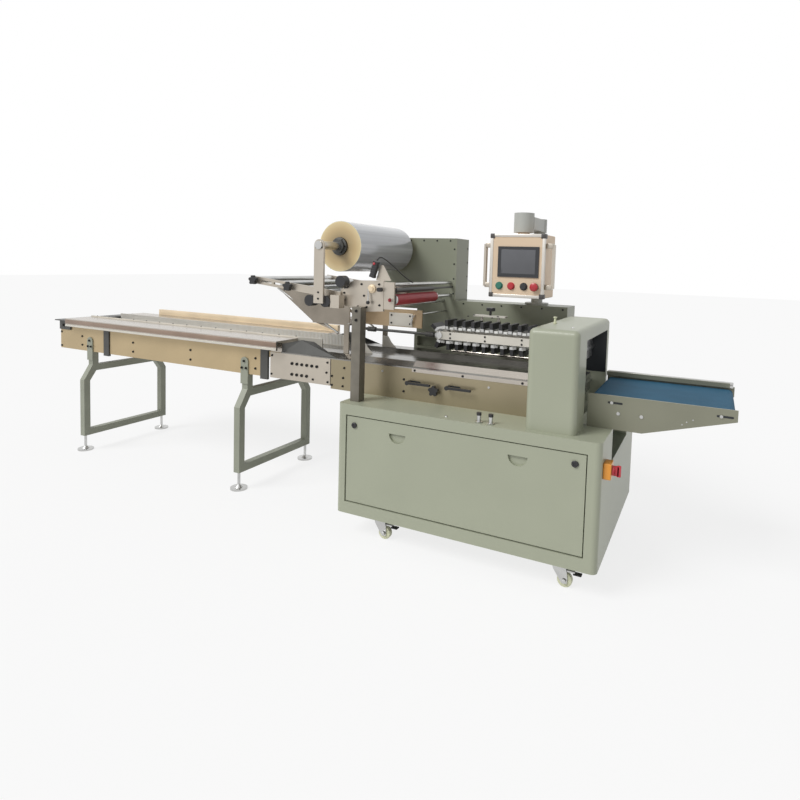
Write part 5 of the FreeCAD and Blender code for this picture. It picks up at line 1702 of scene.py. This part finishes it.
@dataclass
class NipFittings:
    """The fittings of the front side plate: gold flange, nip lever, screws and post bolts."""

    flange_place: Pair = (483.0, 1146.0)
    flange: Sequence[Pair] = ((0, 0), (19, 0), (20, 2), (20, 7), (12, 9), (12, 15), (0, 15))
    lever_route: Sequence[Point] = (
        (470.0, -12.0, 1146.0), (471.0, -14.0, 1110.0), (474.0, -20.0, 1086.0),
    )
    lever_radius: float = 3.5
    ball_place: Point = (474.0, -20.0, 1092.0)
    ball: Sequence[Pair] = ((0, 0), (7, 2), (9, 9), (7, 16), (0, 18))
    plate_spots: Sequence[Pair] = (
        (330.0, 1085.0), (330.0, 1120.0), (425.0, 1165.0), (455.0, 1060.0), (440.0, 1112.0),
        (520.0, 1168.0), (524.0, 1072.0), (408.0, 1060.0),
    )
    post_drops: Pair = (18.0, 60.0)

    def build(self) -> None:
        """Add the flange, the lever and the screws."""
        face = Corners.of("front_side_plate").front
        x, z = self.flange_place
        flange = Turned(self.flange, (x, face, z), Facing.FRONT, 0, 40)
        turned_piece("nip_flange", [flange], [GOLD_RAIL])

        def fill(work: bmesh.types.BMesh) -> None:
            """Add the nip lever's rod and its ball end."""
            rod, ball = (
                rows(*[(a, face + b, c) for a, b, c in places])
                for places in (self.lever_route, [self.ball_place])
            )
            add_tube(work, rod, self.lever_radius * MM, 12, 0)
            add_lathe(work, metres(self.ball), ball[0], Facing.DOWN.vector, 20, 1)

        finished_piece("nip_lever", mesh_from(fill), [STEEL, BLACK_PLASTIC])
        face_screws("side_plate_screws", self.plate_spots, face, 5.5)
        post = Corners.of("square_post")
        middle = (post.left + post.right) / 2
        bolts = [(middle, post.top - drop) for drop in self.post_drops]
        face_screws("post_bolts", bolts, post.front, 7.0, 5.0)


@dataclass
class FormingRollers:
    """The black nip roller, and the bright end collars and sleeves of the red roller."""

    collar: Sequence[Pair] = ((10.0, 0), (24.5, 0), (24.5, 5.0), (18.0, 7.0), (10.0, 7.0))
    collar_ends: Pair = (-340.0, 85.0)
    sleeve_radius: float = 9.4
    sleeve_ends: Pair = (-341.0, 86.0)
    sleeve_lengths: Pair = (36.0, 232.0)
    nip: Sequence[Pair] = (
        (0, 0), (5, 0), (5, 14), (11, 15), (11, 410), (5, 411), (5, 656), (0, 656),
    )
    nip_offset: float = 8.0
    nip_start: float = -357.0
    nip_z: float = 1143.0

    def build(self) -> None:
        """Add both rollers' pieces."""
        red = Corners.of("feed_roller")
        x = (red.left + red.right) / 2
        z = (red.bottom + red.top) / 2
        ways = (Facing.FRONT, Facing.BACK)
        forms = [Turned(self.collar, (x, y, z), way) for y, way in zip(self.collar_ends, ways)]
        radius = self.sleeve_radius
        for y, length, way in zip(self.sleeve_ends, self.sleeve_lengths, ways):
            sleeve = [(0, 0), (radius, 0), (radius, length), (0, length)]
            forms.append(Turned(sleeve, (x, y, z), way))
        turned_piece("red_roller_collars", forms, [STEEL], "feed_roller_body")
        black = Turned(self.nip, (x + self.nip_offset, self.nip_start, self.nip_z), Facing.BACK)
        turned_piece("black_nip_roller", [black], [DARK_METAL])


@dataclass
class Throat:
    """The throat's cover plate with its screws, and the bent handle rod."""

    cover_low: Pair = (410.0, 948.0)
    cover_high: Pair = (545.0, 1015.0)
    cover_depth: float = 5.0
    handle: Sequence[Point] = (
        (540.0, -4.0, 962.0), (547.0, -8.0, 985.0), (551.0, -7.0, 1002.0), (556.0, 8.0, 1009.0),
    )
    handle_end: Point = (556.0, 299.0, 1009.0)
    handle_radius: float = 5.0
    screw_spots: Sequence[Pair] = (
        (424.0, 962.0), (424.0, 1002.0), (531.0, 962.0), (531.0, 1002.0),
    )

    def build(self) -> None:
        """Add the cover, the handle and the screws."""
        back = Corners.of("throat_panel").front
        face = back - self.cover_depth
        (left, bottom), (right, top) = self.cover_low, self.cover_high
        cover = Block((left, face, bottom), (right, back, top))
        block_piece("throat_cover", [cover], [WHITE_METAL])

        def fill(work: bmesh.types.BMesh) -> None:
            """Add the bent handle rod from the cover back to the wall."""
            route = [(x, face + y, z) for x, y, z in self.handle]
            add_tube(work, rows(*route, self.handle_end), self.handle_radius * MM, 14)

        finished_piece("throat_handle", mesh_from(fill, 60.0), [STEEL])
        face_screws("throat_cover_screws", self.screw_spots, face, 5.0, 3.0)


@dataclass
class FoldingSheets:
    """The folding sheets' triangles with their rods, the trough flaps and the throat plates.

    Each form is given for the far side and mirrored to the near one.
    """

    tip: Point = (-212.0, 203.0, 1114.0)
    foot: Point = (165.0, 176.0, 898.0)
    inner: Point = (20.0, 197.0, 950.0)
    high: Point = (-128.0, 197.0, 1128.0)
    rod_radius: float = 5.0
    flap_low: Point = (-140.0, 249.0, 776.0)
    flap_back: Point = (-140.0, 247.0, 822.0)
    flap_crest: Point = (-28.0, 228.0, 849.0)
    flap_shoulder: Point = (37.0, 206.0, 842.0)
    flap_end: Point = (209.0, 248.0, 781.0)
    plate: Sequence[Pair] = ((257, 800.2), (345, 800.2), (312, 830), (292, 862), (257, 862))
    plate_faces: Pair = (121.0, 124.0)

    def build(self) -> None:
        """Add the sheets, the flaps and the plates."""
        def fill(work: bmesh.types.BMesh) -> None:
            """Add two triangles and a rod on both sides."""
            for side in (-1.0, 1.0):
                tip, foot, inner, high = self.mirrored(
                    side, self.tip, self.foot, self.inner, self.high
                )
                add_sheet(work, [high, tip, inner], 0.002, 0)
                add_sheet(work, [tip, foot, inner], 0.002, 0)
                add_tube(work, [tip, foot], self.rod_radius * MM, 14, 1)

        finished_piece("folding_triangles", mesh_from(fill), [FORMER_STEEL, STEEL])

        def fill_flap(work: bmesh.types.BMesh) -> None:
            """Add the bent flap beside the trough on both sides."""
            for side in (-1.0, 1.0):
                low, back, crest, shoulder, end = self.mirrored(
                    side, self.flap_low, self.flap_back, self.flap_crest, self.flap_shoulder,
                    self.flap_end,
                )
                for corners in ((low, back, crest), (low, crest, end), (crest, shoulder, end)):
                    add_sheet(work, corners, 0.0016)

        finished_piece("trough_flaps", mesh_from(fill_flap, 20.0), [DARK_METAL])

        def fill_plates(work: bmesh.types.BMesh) -> None:
            """Add the white throat plates that stand on the deck's shoulders."""
            points = metres(rounded_outline(self.plate, 4.0))
            inside, outside = mm(*self.plate_faces)
            for side in (-1.0, 1.0):
                add_outline_prism(work, points, "XZ", side * inside, side * outside)

        finished_piece("throat_plates", mesh_from(fill_plates), [WHITE_METAL])

    def mirrored(self, side: float, *points: Point) -> list[Point]:
        """Return points on one side of the machine, in metres.

        Args:
            side: 1 for the far side and -1 for the near one.
            *points: The far side's points in millimetres.

        Returns:
            The points.
        """
        return rows(*[(x, side * y, z) for x, y, z in points])


@dataclass
class FilmSensor:
    """The film-mark sensor: ribbed case, red lamp, cream bracket and lead."""

    lean: float = 16.7
    place: Pair = (499.0, 1236.0)
    rib_step: float = 11.0
    rib_half: Pair = (12.0, 13.5)
    lamp_offset: Point = (-4.0, -10.0, 26.0)
    lamp: Sequence[Pair] = ((0, 0), (6, 0), (6, 3), (3, 5.5), (0, 6))
    bracket: Sequence[Pair] = ((500, 1186), (580, 1186), (538, 1256), (522, 1256))
    bracket_faces: Pair = (-366.0, -362.0)
    lead: Sequence[Point] = (
        (512.0, -378.0, 1276.0), (517.0, -376.0, 1292.0), (532.0, -352.0, 1290.0),
        (565.0, -290.0, 1240.0), (585.0, -230.0, 1196.0), (594.0, -180.0, 1176.0),
    )
    lead_radius: float = 2.8

    def build(self) -> None:
        """Replace the plain sensor with the ribbed one and add its lead."""
        whole = Corners.of("film_sensor")
        lean = Matrix.Rotation(math.radians(self.lean), 3, "Y")
        x, z = self.place
        centre = Vector((x, (whole.front + whole.back) / 2 - 3.0, z))

        def fill(work: bmesh.types.BMesh) -> None:
            """Add the case with its ribs, the lamp and the bracket."""
            for offset in range(-3, 4):
                middle = centre + lean @ Vector((0, 0, offset * self.rib_step))
                half = Vector((self.rib_half[offset % 2], 10.5, 5.6))
                add_box(work, mm(*(middle - half)), mm(*(middle + half)), 0.0015, lean, 0)
            lamp = centre + lean @ Vector(self.lamp_offset)
            add_lathe(work, metres(self.lamp), mm(*lamp), Facing.FRONT.vector, 20, 1)
            points = metres(rounded_outline(self.bracket, 5.0))
            add_outline_prism(work, points, "XZ", *mm(*self.bracket_faces), 2)

        finishes = [BLACK_PLASTIC, SWITCH_RED, BRIGHT]
        piece = finished_piece("mark_sensor", mesh_from(fill), finishes)
        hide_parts("film_sensor")
        self.run_lead()

    def run_lead(self) -> None:
        """Add the sensor's lead, from the case's top to the upper steel bar."""
        route = rows(*self.lead)
        curve = bpy.data.curves.new("sensor_lead_route", "CURVE")
        curve.dimensions = "3D"
        curve.bevel_depth = self.lead_radius * MM
        curve.bevel_resolution = 3
        curve.resolution_u = 10
        curve.use_fill_caps = True
        spline = curve.splines.new("NURBS")
        spline.points.add(len(route) - 1)
        for point, place in zip(spline.points, route):
            point.co = (*place, 1.0)
        spline.order_u = 3
        spline.use_endpoint_u = True
        carrier = bpy.data.objects.new("sensor_lead_route", curve)
        bpy.context.scene.collection.objects.link(carrier)
        bpy.context.view_layer.update()
        evaluated = carrier.evaluated_get(bpy.context.evaluated_depsgraph_get())
        mesh = bpy.data.meshes.new_from_object(evaluated)
        bpy.data.objects.remove(carrier)
        bpy.data.curves.remove(curve)
        smooth_by_angle(mesh, 50.0)
        finished_piece("sensor_lead", mesh, [BLACK_PLASTIC])


@dataclass
class HoldDown:
    """The flighted hold-down chain: white carriers, bearings and the bars' and bridge's screws."""

    face: float = -90.0
    chain_z: float = 921.0
    sprockets: Pair = (700.0, 1180.0)
    bearing: Sequence[Pair] = ((8, 0), (17, 0), (18, 1.5), (18, 7), (13, 9), (8, 9))
    bar_screws: Sequence[float] = (760.0, 940.0, 1120.0)
    bar_screw_rises: Pair = (-10.0, 10.0)
    bridge_screw_x: Pair = (830.0, 955.0)
    bridge_screw_y: Pair = (-40.0, 40.0)
    carrier_count: int = 11
    carrier_size: Point = (18.0, 9.0, 11.0)
    carrier_start: float = 710.0
    carrier_step: float = 46.0
    carrier_y: float = 62.0
    carrier_rows: Sequence[tuple[str, float]] = (("upper", 955.0), ("lower", 887.0))

    def build(self) -> None:
        """Add the fine pieces of the hold-down."""
        bars = Corners.of("hold_down_frame")
        forms = [
            Turned(self.bearing, (x, self.face, self.chain_z), Facing.FRONT, 0, 36)
            for x in self.sprockets
        ]
        turned_piece("sprocket_bearings", forms, [STEEL])
        spots = [(x, self.chain_z + z) for x in self.bar_screws
                 for z in self.bar_screw_rises]
        face_screws("side_bar_screws", spots, self.face, 5.0, 3.0)
        self.carriers()
        top = [(x, y, bars.top) for y in self.bridge_screw_y for x in self.bridge_screw_x]
        screw_set("bridge_screws", top, Facing.UP)

    def carriers(self) -> None:
        """Add the white carrier at the foot of each flight, on both sides."""
        size = mm(*self.carrier_size)
        for name, z in self.carrier_rows:
            for side, y in (("near", -self.carrier_y), ("far", self.carrier_y)):
                mesh = BARS.bars(
                    self.carrier_count, mm(self.carrier_start, y, z),
                    mm(self.carrier_step, 0, 0), size, WHITE_PLASTIC,
                )
                finished_piece(f"flight_ends_{name}_{side}", mesh, [WHITE_PLASTIC])


@dataclass
class EndSealHood:
    """The end-seal hood: black sheets of painted shade in its opening, the lifting peg and a screw
    on top.
    """

    opening_front: float = -281.0
    opening_back: float = 219.0
    opening_bottom: float = 772.0
    opening_top: float = 978.0
    wall: float = 1.5
    peg_profile: Sequence[Pair] = (
        (0, 0), (9, 0), (9, 4), (5, 5), (5, 22), (8, 24), (8, 29), (0, 30),
    )
    peg_place: Pair = (1295.0, -190.0)
    screw_place: Pair = (1400.0, -320.0)

    def build(self) -> None:
        """Add the hood's fine pieces."""
        hood = Corners.of("end_seal_hood")
        near, far = self.opening_front, self.opening_back
        left, right = hood.left + 2.0, hood.right - 2.0
        top = self.opening_top
        spans = (
            (near, top - self.wall, far), (near, self.opening_bottom, near + self.wall),
            (far - self.wall, self.opening_bottom, far),
        )
        # Painted shade: black sheets on the opening's top and sides stand in for the shade inside
        # the hood.
        blocks = [
            Block((left, front, bottom), (right, back, top), 0, 0.3)
            for front, bottom, back in spans
        ]
        block_piece("tunnel_painted_shade", blocks, [SHADE_BLACK])
        peg = Turned(self.peg_profile, (*self.peg_place, hood.top), Facing.UP, 0, 28)
        turned_piece("lifting_peg", [peg], [CREAM_PLASTIC])
        seat = (*self.screw_place, hood.top)
        screw_set("hood_top_screw", [seat], Facing.UP, 6.0, 3.0, STEEL)


@dataclass
class Outfeed:
    """The outfeed belt: slots with screws, side bolts, the stepped far rail."""

    slots: Sequence[Pair] = ((1563.0, 731.0), (1962.0, 731.0))
    slot_reach: Pair = (-24.0, 34.0)
    slot_radius: float = 4.0
    bolts: Sequence[Pair] = ((1582.0, 690.0), (1671.0, 689.0))
    small: Sequence[Pair] = ((1858.0, 703.0), (1836.0, 692.0), (1820.0, 680.0))
    rail_span: Pair = (1463.0, 2004.0)

    def build(self) -> None:
        """Add the outfeed's fine pieces."""
        plate = Corners.of("outfeed_frame")

        def fill(work: bmesh.types.BMesh) -> None:
            """Add each slot as a flush black face of painted shade."""
            for x, z in self.slots:
                left, right = (x + reach for reach in self.slot_reach)
                low, high = z - self.slot_radius, z + self.slot_radius
                corners = [(left, low), (right, low), (right, high), (left, high)]
                points = metres(rounded_outline(corners, self.slot_radius))
                add_outline_prism(work, points, "XZ", (plate.front - 1.0) * MM, plate.front * MM)

        finished_piece("outfeed_slots", mesh_from(fill), [SHADE_BLACK])
        heads = [(x - 8.0, z) for x, z in self.slots]
        face_screws("outfeed_slot_screws", heads, plate.front - 1.0, 7.0, finish=STEEL)
        two_sided_screws("outfeed_bolts", self.bolts, plate, 8.0, finish=STEEL)
        face_screws("outfeed_small_screws", self.small, plate.front, 3.0, 2.0, STEEL)
        left, right = self.rail_span
        rail = [
            Block((left, plate.back - 14.0, plate.top - 11.0),
                  (right, plate.back, plate.top + 3.0), 0, 2.5),
            Block((left, plate.back - 26.0, 757.0), (right, plate.back - 9.0, 768.0), 0, 2.5),
        ]
        block_piece("outfeed_far_rail", rail, [STEEL])


@dataclass
class ControlPanel:
    """The swivelling panel: extrusion frame, corner blocks, screen, buttons and handles."""

    rail: float = 14.0
    corner: float = 24.0
    frame_top: float = 1425.0
    glass_inset: float = 17.0
    glass_top_inset: float = 15.0
    button_x: Sequence[float] = (945.0, 1006.0, 1070.0, 1125.0)
    button_z: float = 1172.0
    cap: Sequence[Pair] = (
        (0, 0), (19, 0), (19, 3), (17, 5), (14.5, 5), (14.5, 10), (13, 11.5), (0, 11.5),
    )
    mushroom: Sequence[Pair] = ((0, 6), (13, 6), (20, 16), (20, 20), (16, 23), (0, 24))
    bezel: Sequence[Pair] = ((0, 0), (19, 0), (19, 3), (17, 6), (0, 6))

    def build(self) -> None:
        """Add the panel's pieces, all on the panel's own body."""
        box = Corners.of("control_box")
        self.frame_bars(box)
        self.screen()
        self.buttons(box)
        self.handles(box)

    def frame_bars(self, box: Corners) -> None:
        """Add the pale extrusions along the front edges and the dark corner blocks.

        Args:
            box: The panel box.
        """
        top = self.frame_top
        out = box.front - 3.0
        inner = box.front + 12.0
        bars = [
            Block((box.left, out, top - self.rail), (box.right, inner, top + 2.0), 0, 3.0),
            Block((box.left, out, box.bottom - 2.0), (box.right, inner, box.bottom + self.rail),
                  0, 3.0),
            Block((box.left - 2.0, out, box.bottom), (box.left + self.rail, inner, top), 0, 3.0),
            Block((box.right - self.rail, out, box.bottom), (box.right + 2.0, inner, top), 0, 3.0),
        ]
        for x in (box.left - 3.0, box.right + 3.0 - self.corner):
            for z in (box.bottom - 3.0, top + 3.0 - self.corner):
                bars.append(
                    Block((x, out - 1.5, z), (x + self.corner, box.front + 30.0, z + self.corner),
                          1, 4.0)
                )
        block_piece("panel_frame", bars, [EXTRUSION, GREY_CORNER], "control_panel")

    def screen(self) -> None:
        """Add the glass inside the screen's bezel."""
        bezel = Corners.of("panel_screen")
        glass = Block(
            (bezel.left + self.glass_inset, bezel.front - 0.8, bezel.bottom + self.glass_inset),
            (bezel.right - self.glass_inset, bezel.front + 1.0, bezel.top - self.glass_top_inset),
            0, 0.4,
        )
        block_piece("screen_glass", [glass], [SCREEN_GLASS], "control_panel")

    def buttons(self, box: Corners) -> None:
        """Replace the four buttons with bezelled caps in their own colours.

        Args:
            box: The panel box.
        """
        green, red, black, stop = self.button_x
        places = (
            (self.cap, green, 1), (self.cap, red, 2), (self.cap, black, 0),
            (self.bezel, stop, 0), (self.mushroom, stop, 2),
        )
        forms = [
            Turned(profile, (x, box.front, self.button_z), Facing.FRONT, slot, 36)
            for profile, x, slot in places
        ]
        finishes = [BUTTON_BLACK, BUTTON_GREEN, BUTTON_RED]
        piece = turned_piece("panel_button_caps", forms, finishes, "control_panel")
        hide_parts("panel_buttons")

    def handles(self, box: Corners) -> None:
        """Add square feet to the two grab handles.

        Args:
            box: The panel box.
        """
        grip = Corners.of("panel_handles")
        feet = []
        for x_low, x_high in ((grip.left + 8.0, box.left), (box.right, grip.right - 8.0)):
            for z in (grip.bottom - 6.0, grip.top - 18.0):
                feet.append(Block((x_low, grip.front - 3.0, z), (x_high, grip.back + 3.0, z + 24.0),
                                  0, 3.0))
        block_piece("handle_feet", feet, [BRIGHT], "control_panel")


@dataclass
class SmallFittings:
    """The dials' collars and the main switch's grip."""

    dials: Pair = (1056.0, 1108.0)
    dial_y: float = -438.0
    collar: Sequence[Pair] = ((0, 0), (15, 0), (16, 2), (16, 5), (9.5, 6), (0, 6))
    grip_half: Point = (8.0, 6.0, 22.0)

    def build(self) -> None:
        """Add the fittings."""
        stems = Corners.of("dial_stems")
        forms = [
            Turned(self.collar, (x, self.dial_y, stems.bottom), Facing.UP) for x in self.dials
        ]
        turned_piece("dial_collars", forms, [STEEL])
        knob = Corners.of("switch_knob")
        middle_y = (knob.front + knob.back) / 2
        middle_z = (knob.bottom + knob.top) / 2
        middle = Vector((knob.right, middle_y, middle_z))
        half = Vector(self.grip_half)
        grip = Block(tuple(middle - half), tuple(middle + half), 0, 3.0)
        block_piece("switch_grip", [grip], [SWITCH_RED], "switch_handle")


SUB_ASSEMBLIES = (
    MachineCabinet, Casters, RearWall, Deck, Infeed, LegFrames, FilmStation, NipFittings,
    FormingRollers, Throat, FoldingSheets, FilmSensor, HoldDown, EndSealHood, Outfeed,
    ControlPanel, SmallFittings,
)


def main() -> None:
    """Dress the machine and set its stage."""
    logging.basicConfig(level=logging.INFO)
    Studio().build()
    dress_nodes()
    for assembly in SUB_ASSEMBLIES:
        log.info("building %s", assembly.__name__)
        assembly().build()


if __name__ == "__main__":
    main()
